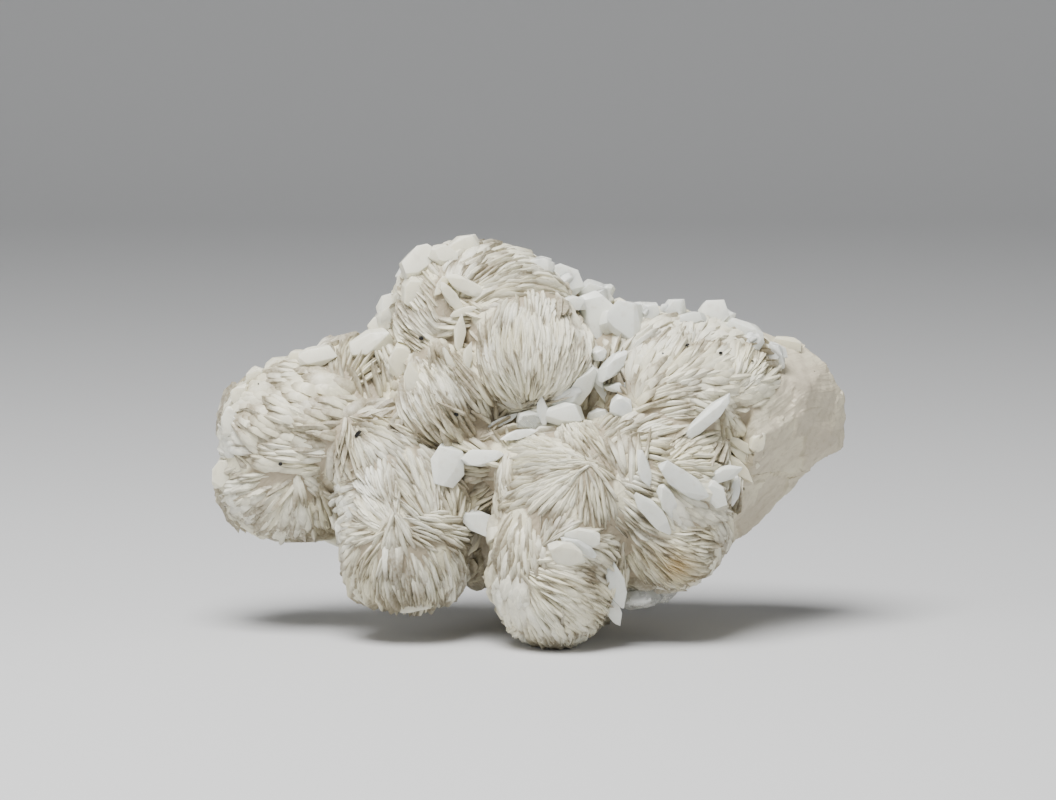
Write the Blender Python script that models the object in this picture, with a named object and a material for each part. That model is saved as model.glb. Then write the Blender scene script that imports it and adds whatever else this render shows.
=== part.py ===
"""Barite crystal cluster: rosettes of tabular blades grown together on broken massive barite.

Metres, +Z up. The front of the cluster faces -Y. It stands on two flats, one under the front rosette and
one under the broken foot behind it. The origin lies on that surface, under the middle of the cluster's box.

Places on the cluster are written in millimetres as someone sees them who looks at its front from slightly
above: across from the middle of the view, up the view from the lowest point, and back from the front foot.
"""

import math
import random
from dataclasses import dataclass

import bmesh
import bpy
from mathutils import Matrix, Vector, noise

MM = 0.001

# How far above level the front view looks down.
VIEW_TILT = math.radians(7.0)

# The middle of the cluster's box, across and back.
MIDDLE_ACROSS = 1.2
MIDDLE_BACK = 19.3

# Blades that show from a step away: length, height and thickness, and how far apart they stand.
BLADE_SIZE = (12.0, 6.5, 1.7)
BLADE_SPACING = 18.0
BLADE_SIZE_SPREAD = 0.18
BLADE_TURN_SPREAD = 0.22
BLADE_LEAN_SPREAD = 0.2

# A tablet's outline has this many corners, and its flat faces are this share of its outline.
TABLET_CORNERS = 5
FLAT_SHARE = 0.72

# The ribs of a rosette: how far apart they run, how deep the grooves between them are, how uneven they
# are, and how many steps one takes from the root to the far side. The whole ball is lumpy as well.
RIB_SPACING = 6.0
RIB_DEPTH = 1.9
RIB_ROUGHNESS = 0.45
RIB_STEPS = 5
LUMP_SHARE = 0.1
LUMP_SIZE = 9.0

# Single blades are rooted this share of the way out from a rosette's middle.
BLADE_ROOT_SHARE = 0.88

# Behind this share of a rosette's half depth no single blades grow.
BLADE_BACK_SHARE = 0.35

# Blades closer than this to the standing surface would touch it.
CLEAR_ABOVE_SURFACE = 3.2

# Points nearer than this are one point.
MERGE_GAP = 0.02

# Shorter edges than this are taken out.
SHORTEST_EDGE = 0.001

GOLDEN_ANGLE = math.pi * (3.0 - math.sqrt(5.0))
SEED = 11

BARITE_COLOUR = (0.66, 0.63, 0.56, 1.0)
BARITE_ROUGHNESS = 0.55


@dataclass(frozen=True)
class Rosette:
    """A lobe of radiating blades: its middle, its half sizes and the point where its blades meet."""

    middle: tuple
    half_size: tuple
    root: tuple
    swirl: float = 0.0


@dataclass(frozen=True)
class Crystal:
    """A distinct crystal: its middle, its full length, width and thickness, and how it lies.

    Lean is the angle of its length in the view, turn swings it to the side and nod tips it back, in
    degrees.
    """

    middle: tuple
    size: tuple
    lean: float = 0.0
    turn: float = 0.0
    nod: float = 0.0


ROSETTES = {
    "crown": Rosette((-6.9, 67.8, 25.0), (15.0, 14.0, 13.3), (-11.0, 62.0, 9.0), 0.3),
    "crown_left": Rosette((-17.4, 66.6, 24.0), (7.8, 10.0, 11.4), (-12.0, 54.0, 11.0)),
    "centre": Rosette((1.0, 58.5, 14.0), (11.0, 11.5, 11.0), (1.5, 46.5, 5.0), 0.1),
    "upper_left": Rosette((-15.0, 50.0, 15.0), (9.5, 11.0, 10.0), (-8.0, 41.0, 5.0)),
    "far_left": Rosette((-46.2, 45.2, 24.0), (15.2, 14.0, 12.0), (-31.0, 39.0, 13.0)),
    "low_left": Rosette((-48.6, 31.4, 25.0), (12.9, 12.0, 10.4), (-45.0, 31.0, 11.0)),
    "shoulder": Rosette((-29.0, 40.0, 17.0), (10.5, 11.0, 9.0), (-24.0, 31.0, 4.0), 0.2),
    "left_foot": Rosette((-23.5, 27.5, 13.0), (13.2, 13.0, 13.0), (-24.0, 22.0, -2.0), 0.2),
    "left_toe": Rosette((-24.4, 18.0, 11.0), (11.0, 10.5, 9.4), (-24.0, 23.0, -2.0)),
    "front": Rosette((5.4, 15.2, 3.0), (12.8, 13.5, 16.2), (-5.5, 18.0, -7.0), 0.5),
    "front_top": Rosette((8.5, 32.0, 7.0), (14.0, 13.0, 12.0), (11.0, 36.0, -8.0), 0.3),
    "right": Rosette((24.0, 33.0, 10.0), (17.0, 14.0, 13.5), (11.0, 37.0, -4.0), 0.1),
    "right_low": Rosette((28.6, 22.6, 10.0), (10.4, 11.5, 11.0), (20.0, 30.0, -5.0)),
    "right_top": Rosette((32.0, 53.6, 20.0), (18.2, 14.5, 13.3), (42.0, 44.0, 6.0), 0.2),
    "heart": Rosette((-6.0, 37.5, 15.0), (11.0, 10.0, 9.5), (-3.0, 30.0, 5.0), 0.4),
    "pit_wall": Rosette((10.0, 48.0, 22.0), (9.0, 10.0, 9.0), (12.0, 40.0, 12.0)),
    "saddle": Rosette((-32.0, 54.4, 26.0), (10.0, 9.0, 7.6), (-24.0, 52.0, 16.0)),
    "ridge": Rosette((18.6, 58.8, 26.0), (11.0, 9.5, 8.2), (16.0, 54.0, 17.0)),
}

# Massive barite behind the rosettes, broken from the rock. Each block is the hull of its corners.
BROKEN_BLOCKS = {
    "right_end": (
        (43.0, 65.0, 30.0), (54.0, 62.4, 31.0), (61.6, 57.0, 29.0), (64.8, 51.0, 30.0),
        (65.4, 45.6, 31.0), (65.2, 39.6, 30.5), (57.6, 35.0, 25.0), (44.0, 34.0, 12.0),
        (57.3, 52.6, 19.0), (55.9, 46.6, 16.0), (47.0, 42.0, 9.0), (43.0, 56.0, 12.0),
        (57.0, 52.0, 42.0), (56.0, 42.0, 44.0), (30.0, 58.0, 46.0), (28.0, 34.0, 47.0),
    ),
    "right_tail": (
        (56.6, 37.0, 27.0), (49.4, 29.4, 23.0), (46.8, 24.6, 22.0), (41.8, 20.0, 20.0),
        (36.0, 24.0, 12.0), (44.0, 36.0, 11.0), (54.0, 46.0, 17.0), (50.0, 44.0, 42.0),
        (44.0, 26.0, 38.0), (28.0, 34.0, 47.0), (30.0, 22.0, 30.0),
    ),
    "middle": (
        (-24.0, 70.0, 28.0), (-6.0, 77.0, 28.0), (8.0, 72.0, 30.0), (40.0, 60.0, 28.0),
        (44.0, 30.0, 24.0), (26.0, 14.0, 18.0), (0.0, 12.0, 16.0), (-12.0, 16.0, 17.0),
        (-24.0, 24.0, 20.0), (-20.0, 66.0, 40.0), (-4.0, 70.0, 42.0), (20.0, 60.0, 46.0),
        (24.0, 30.0, 46.0), (2.0, 18.0, 44.0), (-16.0, 34.0, 43.0),
    ),
    "left_end": (
        (-57.0, 38.0, 26.0), (-52.0, 49.0, 28.0), (-34.0, 56.0, 26.0), (-46.0, 26.0, 26.0),
        (-30.0, 20.0, 20.0), (-50.0, 34.0, 37.0), (-44.0, 46.0, 39.0), (-26.0, 52.0, 42.0),
        (-20.0, 40.0, 43.0), (-28.0, 26.0, 38.0), (-14.0, 20.0, 16.0), (-24.0, 18.0, 22.0),
        (-57.0, 32.0, 28.0), (-12.0, 26.0, 36.0),
    ),
    "foot": (
        (-2.5, 1.5, 30.0), (13.0, 1.5, 31.0), (18.0, 3.0, 41.0), (-4.0, 3.2, 43.0),
        (6.0, 3.0, 46.0), (-8.0, 22.0, 24.0), (24.0, 20.0, 24.0), (26.0, 26.0, 44.0),
        (-9.0, 24.0, 42.0), (8.0, 22.0, 48.0),
    ),
    "gap_wall": (
        (-16.0, 17.0, 16.0), (-6.0, 11.4, 15.0), (-11.0, 12.2, 22.0), (2.0, 16.0, 12.0),
        (-18.0, 24.0, 12.0), (-4.0, 26.0, 8.0), (-14.0, 20.0, 34.0), (4.0, 14.0, 34.0),
    ),
    "high_ledge": (
        (2.0, 64.0, 40.0), (14.0, 62.0, 43.0), (24.0, 54.0, 49.0), (18.0, 46.0, 50.5),
        (4.0, 50.0, 47.0), (28.0, 44.0, 44.0), (-4.0, 56.0, 40.0), (12.0, 40.0, 42.0),
    ),
    "left_ledge": (
        (-38.0, 50.0, 38.0), (-24.0, 47.0, 45.5), (-18.0, 40.0, 46.5), (-32.0, 38.0, 44.0),
        (-42.0, 40.0, 37.0), (-22.0, 32.0, 41.0), (-12.0, 44.0, 40.0),
    ),
}

# Blades and blocky crystals that stand out from the rosettes around them.
CRYSTALS = (
    Crystal((-15.7, 36.4, 3.6), (8.8, 6.2, 3.0), 75.0, 10.0, -10.0),
    Crystal((-8.6, 38.2, 3.4), (11.5, 3.8, 3.0), 8.0, -12.0, -20.0),
    Crystal((-7.9, 24.6, 5.8), (10.8, 4.8, 2.6), -22.0, 8.0, -10.0),
    Crystal((7.6, 19.4, -10.2), (9.6, 5.2, 2.6), -14.0, 0.0, 14.0),
    Crystal((16.9, 8.5, -0.9), (9.4, 3.6, 2.6), -54.0, 14.0, 20.0),
    Crystal((17.9, 13.0, -2.2), (9.8, 4.2, 2.6), -74.0, 20.0, 10.0),
    Crystal((35.9, 45.8, 3.8), (13.4, 2.8, 2.8), 42.0, 14.0, 0.0),
    Crystal((31.3, 33.4, -4.2), (11.6, 4.4, 3.2), -34.0, 16.0, 0.0),
    Crystal((23.5, 36.0, -4.8), (9.0, 2.8, 2.6), -76.0, 10.0, 0.0),
    Crystal((25.3, 27.2, -5.4), (10.8, 3.8, 2.6), -50.0, 14.0, 10.0),
    Crystal((-15.2, 69.8, 10.6), (8.4, 2.8, 2.6), -58.0, 10.0, 0.0),
    Crystal((-11.6, 69.4, 9.9), (8.0, 3.2, 2.6), -36.0, 0.0, 0.0),
    Crystal((-12.8, 62.2, 9.4), (11.0, 2.2, 2.6), 84.0, 10.0, 0.0),
    Crystal((-10.2, 58.8, 6.2), (8.0, 2.0, 2.6), 70.0, 10.0, 0.0),
    Crystal((-1.4, 42.6, 3.5), (9.0, 2.0, 2.6), 12.0, 0.0, -10.0),
    Crystal((-4.6, 45.4, 8.4), (8.0, 2.0, 2.6), 22.0, 0.0, -10.0),
    Crystal((10.6, 20.4, -8.7), (8.0, 3.0, 2.6), -30.0, 10.0, 14.0),
    Crystal((7.7, 46.7, 6.6), (7.8, 4.6, 5.2), 6.0, 0.0, -10.0),
    Crystal((10.8, 52.2, 9.9), (9.4, 4.6, 4.2), 52.0, 24.0, 0.0),
    Crystal((8.2, 50.4, 7.8), (6.6, 3.4, 3.2), 24.0, 10.0, 0.0),
    Crystal((1.2, 45.6, 7.1), (6.6, 4.0, 4.2), 4.0, 0.0, 0.0),
    Crystal((15.6, 51.0, 13.1), (7.0, 1.8, 2.4), -52.0, 0.0, 0.0),
    Crystal((-21.4, 77.0, 19.8), (9.4, 6.0, 7.0), 32.0, 10.0, -20.0),
    Crystal((-16.6, 78.4, 18.6), (6.4, 4.4, 5.6), -14.0, 10.0, -20.0),
    Crystal((-12.6, 80.4, 21.4), (7.4, 4.6, 5.0), 24.0, 0.0, 0.0),
    Crystal((-22.4, 71.6, 16.4), (7.0, 5.4, 5.6), 70.0, 10.0, 0.0),
    Crystal((-27.2, 68.2, 26.1), (7.6, 6.0, 6.6), 44.0, 0.0, -10.0),
    Crystal((-28.8, 64.0, 25.1), (6.6, 4.8, 5.6), 30.0, 0.0, -10.0),
    Crystal((-31.6, 60.6, 21.1), (10.4, 5.6, 6.6), 22.0, 0.0, -20.0),
    Crystal((-42.4, 58.0, 19.8), (7.6, 4.4, 6.2), 16.0, 0.0, -20.0),
    Crystal((-37.4, 57.4, 18.2), (6.4, 4.4, 5.2), -10.0, 0.0, -20.0),
    Crystal((-25.2, 57.6, 16.5), (7.6, 4.4, 4.2), 76.0, 0.0, 0.0),
    Crystal((-22.4, 53.4, 8.9), (8.0, 3.6, 3.6), -80.0, 0.0, 0.0),
    Crystal((-34.8, 54.2, 15.8), (7.0, 4.6, 5.2), 80.0, 10.0, 0.0),
    Crystal((7.8, 73.8, 27.1), (8.2, 6.2, 6.6), -44.0, 0.0, -10.0),
    Crystal((14.4, 66.0, 20.5), (13.0, 7.4, 7.6), -54.0, 6.0, -8.0),
    Crystal((20.3, 65.4, 15.6), (8.8, 6.8, 6.6), 76.0, -10.0, 0.0),
    Crystal((33.4, 65.8, 16.4), (6.4, 3.0, 4.0), 8.0, 0.0, 0.0),
    Crystal((37.6, 66.6, 22.2), (6.8, 6.0, 5.6), 80.0, 0.0, -14.0),
    Crystal((44.0, 63.2, 18.9), (8.6, 4.6, 5.0), -24.0, 0.0, 0.0),
    Crystal((49.0, 59.2, 18.2), (7.8, 3.4, 4.0), -4.0, 10.0, -10.0),
    Crystal((53.0, 60.6, 29.5), (7.0, 4.0, 5.6), -20.0, 10.0, 0.0),
    Crystal((17.5, 56.4, 10.6), (7.4, 3.4, 3.6), 50.0, 20.0, 0.0),
    Crystal((19.6, 52.2, 10.6), (7.2, 2.2, 2.8), 2.0, 0.0, 0.0),
    Crystal((-61.0, 42.0, 19.9), (6.4, 4.6, 5.2), 78.0, 10.0, 0.0),
    Crystal((-38.6, 21.6, 23.5), (7.0, 3.6, 3.0), -22.0, 10.0, 0.0),
    Crystal((-18.6, 8.6, 9.8), (8.0, 3.0, 4.0), 14.0, 0.0, 0.0),
    Crystal((-14.0, 72.0, 36.0), (9.0, 6.0, 5.0), 20.0, 30.0, 10.0),
    Crystal((6.0, 66.0, 41.0), (8.0, 6.0, 5.0), -20.0, 10.0, 20.0),
    Crystal((34.0, 60.0, 41.0), (10.0, 6.4, 5.0), -20.0, 20.0, 10.0),
    Crystal((-38.0, 53.0, 34.0), (9.0, 6.0, 5.0), 10.0, 10.0, 10.0),
    Crystal((-54.0, 40.0, 35.0), (9.0, 6.4, 5.0), 70.0, 10.0, 0.0),
    Crystal((-36.0, 24.0, 32.0), (9.0, 6.0, 5.0), 10.0, 20.0, 0.0),
    Crystal((34.0, 24.0, 34.0), (9.0, 6.0, 5.0), 30.0, 10.0, 0.0),
    Crystal((14.0, 70.6, 30.0), (9.0, 6.0, 6.0), -30.0, 10.0, 10.0),
    Crystal((24.0, 66.4, 33.0), (8.0, 6.0, 6.0), 10.0, 30.0, 20.0),
    Crystal((-22.0, 75.0, 32.0), (8.0, 6.0, 6.0), 40.0, 30.0, 10.0),
    Crystal((-58.0, 30.0, 32.0), (8.0, 5.0, 6.0), 20.0, 30.0, 10.0),
)


def clear_scene():
    """Remove everything that is in the scene."""
    for thing in list(bpy.data.objects):
        bpy.data.objects.remove(thing, do_unlink=True)


def spot(place):
    """The point, in millimetres, of a place given across, up the view and back."""
    across, up, back = place
    height = (up - back * math.sin(VIEW_TILT)) / math.cos(VIEW_TILT)
    return Vector((across - MIDDLE_ACROSS, back - MIDDLE_BACK, height))


def new_solid(name, bm):
    """Put a mesh being built into the scene as an object."""
    bmesh.ops.recalc_face_normals(bm, faces=bm.faces)
    mesh = bpy.data.meshes.new(name)
    bm.to_mesh(mesh)
    bm.free()
    solid = bpy.data.objects.new(name, mesh)
    bpy.context.scene.collection.objects.link(solid)
    return solid


def rosette_ball(name, rosette, chooser):
    """The lobe itself: ribs of stacked blades that run from its root over the ball to the far side."""
    bm = bmesh.new()
    half = Vector(rosette.half_size)
    ribs = round(math.tau * sum(half) / 3.0 / RIB_SPACING)
    bmesh.ops.create_uvsphere(bm, u_segments=2 * ribs, v_segments=RIB_STEPS, radius=1.0)
    middle = spot(rosette.middle)
    to_root = spot(rosette.root) - middle
    pole = Vector([axis / size for axis, size in zip(to_root, half)]).normalized()
    aim = Vector((0.0, 0.0, 1.0)).rotation_difference(pole)
    for vert in bm.verts:
        polar = math.acos(max(-1.0, min(1.0, vert.co.z)))
        meridian = round(math.atan2(vert.co.y, vert.co.x) / math.pi * ribs)
        groove = RIB_DEPTH * math.sin(polar) * (meridian % 2)
        twist = rosette.swirl * polar
        direction = aim @ (Matrix.Rotation(twist, 3, "Z") @ vert.co)
        reach = Vector([axis * size for axis, size in zip(direction, half)])
        lump = LUMP_SHARE * noise.noise((middle + reach) / LUMP_SIZE)
        rough = chooser.uniform(-RIB_ROUGHNESS, RIB_ROUGHNESS)
        vert.co = middle + reach * (1.0 + lump) + reach.normalized() * (rough - groove)
    bmesh.ops.triangulate(bm, faces=bm.faces)
    return new_solid(name, bm)


def broken_block(name, corners):
    """A block of massive barite: the hull of its corners."""
    bm = bmesh.new()
    for corner in corners:
        bm.verts.new(spot(corner))
    hull = bmesh.ops.convex_hull(bm, input=bm.verts)
    spare = set(hull["geom_interior"]) | set(hull["geom_unused"])
    spare_verts = [item for item in spare if isinstance(item, bmesh.types.BMVert)]
    bmesh.ops.delete(bm, geom=spare_verts, context="VERTS")
    return new_solid(name, bm)


def tablet(name, frame, length, width, thickness, chooser):
    """A tabular crystal with a sharp rim: length along the frame's X, width along Z, thickness along Y."""
    bm = bmesh.new()
    start = chooser.uniform(0.0, math.pi)
    rings = []
    for side, share in ((-0.5, FLAT_SHARE), (0.0, 1.0), (0.5, FLAT_SHARE)):
        ring = []
        for corner in range(TABLET_CORNERS):
            angle = start + math.tau * corner / TABLET_CORNERS
            along = 0.5 * length * share * math.cos(angle)
            over = 0.5 * width * share * math.sin(angle)
            ring.append(bm.verts.new(frame @ Vector((along, side * thickness, over))))
        rings.append(ring)
    bm.faces.new(rings[0])
    bm.faces.new(reversed(rings[-1]))
    for lower, upper in zip(rings, rings[1:]):
        for corner in range(TABLET_CORNERS):
            after = (corner + 1) % TABLET_CORNERS
            bm.faces.new((lower[corner], upper[corner], upper[after], lower[after]))
    return new_solid(name, bm)


def axes_at(point, along, outward):
    """A frame at a point with X along a direction and Z as near outward as that allows."""
    x_axis = along.normalized()
    y_axis = outward.cross(x_axis).normalized()
    z_axis = x_axis.cross(y_axis)
    frame = Matrix((x_axis, y_axis, z_axis)).transposed().to_4x4()
    frame.translation = point
    return frame


def inside_ball(point, rosette):
    """Whether a point lies inside a rosette's reach."""
    offset = point - spot(rosette.middle)
    return sum((axis / half) ** 2 for axis, half in zip(offset, rosette.half_size)) < 1.0


def blade_places(rosette):
    """Points spread evenly over a rosette, with their outward directions, where no other lobe is."""
    middle = spot(rosette.middle)
    half = rosette.half_size
    mean_half = sum(half) / 3.0
    count = int(4.0 * math.pi * mean_half ** 2 / BLADE_SPACING ** 2)
    others = [other for other in ROSETTES.values() if other is not rosette]
    places = []
    for index in range(count):
        level = 1.0 - 2.0 * (index + 0.5) / count
        ring = math.sqrt(1.0 - level * level)
        angle = GOLDEN_ANGLE * index
        unit = Vector((ring * math.cos(angle), level, ring * math.sin(angle)))
        point = middle + Vector([axis * size for axis, size in zip(unit, half)]) * BLADE_ROOT_SHARE
        outward = Vector([axis / size for axis, size in zip(unit, half)]).normalized()
        covered = any(inside_ball(point, other) for other in others)
        behind = point.y > middle.y + BLADE_BACK_SHARE * half[1]
        if not covered and not behind and point.z > CLEAR_ABOVE_SURFACE:
            places.append((point, outward))
    return places


def rosette_blades(name, rosette, chooser):
    """The large blades of one rosette, each edge on to its surface and pointing to its root."""
    root = spot(rosette.root)
    blades = []
    for number, (point, outward) in enumerate(blade_places(rosette)):
        to_root = root - point
        along = to_root - outward * to_root.dot(outward)
        turn = rosette.swirl + chooser.gauss(0.0, BLADE_TURN_SPREAD)
        along.rotate(Matrix.Rotation(turn, 3, outward))
        lean = Matrix.Rotation(chooser.gauss(0.0, BLADE_LEAN_SPREAD), 3, along.normalized())
        frame = axes_at(point, along, lean @ outward)
        grown = 1.0 + chooser.uniform(-BLADE_SIZE_SPREAD, BLADE_SIZE_SPREAD)
        length, height, thickness = (size * grown for size in BLADE_SIZE)
        blades.append(tablet(f"{name}_blade_{number}", frame, length, height, thickness, chooser))
    return blades


def standing_crystal(name, crystal, chooser):
    """One distinct crystal, with its flat face towards the front before it is turned."""
    rotation = (
        Matrix.Rotation(math.radians(crystal.turn), 3, "Z")
        @ Matrix.Rotation(math.radians(crystal.nod), 3, "X")
        @ Matrix.Rotation(math.radians(-crystal.lean), 3, "Y")
    )
    frame = rotation.to_4x4()
    frame.translation = spot(crystal.middle)
    length, width, thickness = crystal.size
    return tablet(name, frame, length, width, thickness, chooser)


def join_all(first, others):
    """Grow the other solids into the first one, and remove them from the scene."""
    growth = bpy.data.collections.new("growth")
    bpy.context.scene.collection.children.link(growth)
    for solid in others:
        bpy.context.scene.collection.objects.unlink(solid)
        growth.objects.link(solid)
    union = first.modifiers.new("grown_together", "BOOLEAN")
    union.operation = "UNION"
    union.solver = "EXACT"
    union.use_self = True
    union.operand_type = "COLLECTION"
    union.collection = growth
    apply_modifiers(first)
    for solid in others:
        bpy.data.objects.remove(solid, do_unlink=True)
    bpy.data.collections.remove(growth)


def apply_modifiers(solid):
    """Replace a solid's mesh with what its modifiers make of it."""
    evaluated = solid.evaluated_get(bpy.context.evaluated_depsgraph_get())
    mesh = bpy.data.meshes.new_from_object(evaluated)
    solid.modifiers.clear()
    solid.data = mesh


def cut_level(solid):
    """Cut off flat what reaches below the standing surface."""
    bm = bmesh.new()
    bm.from_mesh(solid.data)
    everything = bm.verts[:] + bm.edges[:] + bm.faces[:]
    cut = bmesh.ops.bisect_plane(
        bm, geom=everything, plane_co=(0.0, 0.0, 0.0), plane_no=(0.0, 0.0, 1.0), clear_inner=True,
        dist=MERGE_GAP,
    )
    rim = [item for item in cut["geom_cut"] if isinstance(item, bmesh.types.BMEdge)]
    bmesh.ops.contextual_create(bm, geom=rim)
    bm.to_mesh(solid.data)
    bm.free()


def connected(start):
    """The faces that edges join to a starting face, itself included."""
    found = {start}
    waiting = [start]
    while waiting:
        for edge in waiting.pop().edges:
            for face in edge.link_faces:
                if face not in found:
                    found.add(face)
                    waiting.append(face)
    return found


def close_hollows(bm):
    """Fill the hollows shut in between the lobes: only the outer skin stays."""
    waiting = set(bm.faces)
    skins = []
    while waiting:
        skin = connected(next(iter(waiting)))
        waiting -= skin
        skins.append(skin)
    outer = max(skins, key=len)
    bmesh.ops.delete(bm, geom=[face for face in bm.faces if face not in outer], context="FACES")


def finish_solid(solid):
    """Keep the outer skin, split its faces into triangles and bring it from millimetres to metres."""
    bm = bmesh.new()
    bm.from_mesh(solid.data)
    bmesh.ops.triangulate(bm, faces=bm.faces)
    bmesh.ops.dissolve_degenerate(bm, dist=SHORTEST_EDGE, edges=bm.edges)
    bmesh.ops.triangulate(bm, faces=bm.faces)
    close_hollows(bm)
    bmesh.ops.scale(bm, vec=(MM, MM, MM), verts=bm.verts)
    bm.to_mesh(solid.data)
    bm.free()


def barite():
    """White to cream barite, slightly waxy."""
    material = bpy.data.materials.new("barite")
    material.use_nodes = True
    shader = material.node_tree.nodes["Principled BSDF"]
    shader.inputs["Base Color"].default_value = BARITE_COLOUR
    shader.inputs["Roughness"].default_value = BARITE_ROUGHNESS
    shader.inputs["Metallic"].default_value = 0.0
    return material


def build():
    """Build the whole cluster as one solid."""
    clear_scene()
    chooser = random.Random(SEED)
    blocks = [broken_block(name, corners) for name, corners in BROKEN_BLOCKS.items()]
    growth = [rosette_ball(name, rosette, chooser) for name, rosette in ROSETTES.items()]
    for name, rosette in ROSETTES.items():
        growth.extend(rosette_blades(name, rosette, chooser))
    for number, crystal in enumerate(CRYSTALS):
        growth.append(standing_crystal(f"crystal_{number}", crystal, chooser))
    cluster = blocks[0]
    join_all(cluster, blocks[1:] + growth)
    cut_level(cluster)
    finish_solid(cluster)
    cluster.name = "barite_cluster"
    cluster.data.name = "barite_cluster"
    cluster.data.materials.clear()
    cluster.data.materials.append(barite())


build()
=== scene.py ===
"""The looks of a barite crystal cluster: rosettes of thin tabular blades on broken massive barite.

The cluster is one natural piece. Its rosettes are lobes, and each lobe carries sheaves: stacks of thin
blades that stand edge on to the surface and run away from a common root. Places are written in
millimetres as someone sees them who looks at the front from slightly above: across from the middle of
the view, up the view from the lowest point, and back from the front foot.
"""

import logging
import math
from dataclasses import dataclass, field
from enum import Enum

import bmesh
import bpy
import numpy as np
from mathutils import Matrix, Vector


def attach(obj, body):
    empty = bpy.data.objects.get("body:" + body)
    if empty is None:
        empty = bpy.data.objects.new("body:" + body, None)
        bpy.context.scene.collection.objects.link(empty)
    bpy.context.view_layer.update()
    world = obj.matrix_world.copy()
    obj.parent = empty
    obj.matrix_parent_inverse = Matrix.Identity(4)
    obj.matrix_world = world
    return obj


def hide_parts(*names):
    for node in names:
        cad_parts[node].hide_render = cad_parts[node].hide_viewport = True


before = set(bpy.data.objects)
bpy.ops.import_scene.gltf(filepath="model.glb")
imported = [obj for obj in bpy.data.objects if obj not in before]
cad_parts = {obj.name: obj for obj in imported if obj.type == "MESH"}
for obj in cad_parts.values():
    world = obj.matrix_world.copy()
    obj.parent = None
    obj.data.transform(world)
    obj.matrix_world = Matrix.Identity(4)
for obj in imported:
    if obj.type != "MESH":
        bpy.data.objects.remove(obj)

LOG = logging.getLogger("barite_cluster")

MM = 0.001
NODE = "barite_cluster"
BODY = "root"

# How far above level the front view looks down, and the middle of the solid's box.
VIEW_TILT = math.radians(7.0)
MIDDLE_ACROSS = 1.2
MIDDLE_BACK = 19.3

# The turn from one seed of a sunflower to the next, which spreads places evenly over a ball.
SUNFLOWER_TURN = 2.39996

# A direction that no sheaf's root has, from which angles around a root are counted.
ASKEW = (0.31, 0.27, 0.91)

# The depths in millimetres behind the front foot at which a line of sight is tried.
SIGHT_DEPTHS = (-14.0, 50.0, 0.25)

# The angles in degrees from which an edge of a piece looks sharp.
BLADE_SHARP = 48.0
ROCK_SHARP = 24.0
CRYSTAL_SHARP = 30.0

BARITE_IOR = 1.64

Place = tuple[float, float, float]
Seen = tuple[float, float]
Span = tuple[float, float]


def spot(across: float, up: float, back: float) -> np.ndarray:
    """Turn a place as it is seen into a point of the frame.

    Args:
        across: Millimetres right of the middle of the view.
        up: Millimetres up the view from the lowest point.
        back: Millimetres behind the front foot.

    Returns:
        The point in millimetres, with the frame's axes.
    """
    height = (up - back * math.sin(VIEW_TILT)) / math.cos(VIEW_TILT)
    return np.array((across - MIDDLE_ACROSS, back - MIDDLE_BACK, height))


def unit(vectors: np.ndarray) -> np.ndarray:
    """Return vectors scaled to length one, along their last axis."""
    return vectors / np.maximum(np.linalg.norm(vectors, axis=-1, keepdims=True), 1e-9)


def smooth(values: np.ndarray, low: float, high: float) -> np.ndarray:
    """Return 0 below low, 1 above high and a smooth rise between."""
    share = np.clip((values - low) / (high - low), 0.0, 1.0)
    return share * share * (3.0 - 2.0 * share)


class Ripple:
    """A smooth random field in space, made of waves in many directions."""

    def __init__(self, size: float, seed: int, waves: int = 9) -> None:
        """Choose the waves.

        Args:
            size: Typical width of a swell, in millimetres.
            seed: Number that fixes the waves.
            waves: How many waves are added up.
        """
        chooser = np.random.default_rng(seed)
        directions = unit(chooser.normal(size=(waves, 3)))
        self.steps = directions * (math.tau / (2.0 * size)) * chooser.uniform(0.6, 1.5, (waves, 1))
        self.phases = chooser.uniform(0.0, math.tau, waves)

    def at(self, points: np.ndarray) -> np.ndarray:
        """Return the field at points, mostly between -1 and 1."""
        total = np.sin(points @ self.steps.T + self.phases).sum(axis=-1)
        return total * math.sqrt(2.0 / len(self.phases)) * 0.7


# How blades differ from place to place: in clumps, in broad swells, at their tips and in fused patches.
CLUMP = Ripple(3.2, 7)
SWELL = Ripple(6.0, 8)
TIP = Ripple(2.2, 9)
PATCH = Ripple(4.5, 10)


class Grade(Enum):
    """How coarse the blades of a sheaf are."""

    FINE = "fine"
    MEDIUM = "medium"
    COARSE = "coarse"
    SCALLOP = "scallop"
    FUSED = "fused"
    SLAB = "slab"


@dataclass(frozen=True)
class BladeSize:
    """Mean sizes of a blade in millimetres.

    Length runs along the sheaf, pitch is the distance between neighbours, proud is how far the rim
    stands out of the lobe and uneven is how much that varies. Fused is how far neighbours have grown
    into one another, from 0 to 1.
    """

    length: float
    thickness: float
    pitch: float
    proud: float
    uneven: float
    fused: float


BLADE_SIZES = {
    Grade.FINE: BladeSize(11.0, 0.48, 0.44, 0.45, 0.22, 0.3),
    Grade.MEDIUM: BladeSize(12.6, 0.62, 0.58, 0.55, 0.32, 0.25),
    Grade.COARSE: BladeSize(12.0, 0.85, 0.95, 0.9, 0.5, 0.05),
    Grade.SCALLOP: BladeSize(10.4, 1.5, 1.3, 0.65, 0.45, 0.15),
    Grade.FUSED: BladeSize(12.6, 0.76, 0.74, 0.35, 0.22, 0.7),
    Grade.SLAB: BladeSize(12.0, 2.2, 2.2, 0.35, 0.25, 0.0),
}


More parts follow.
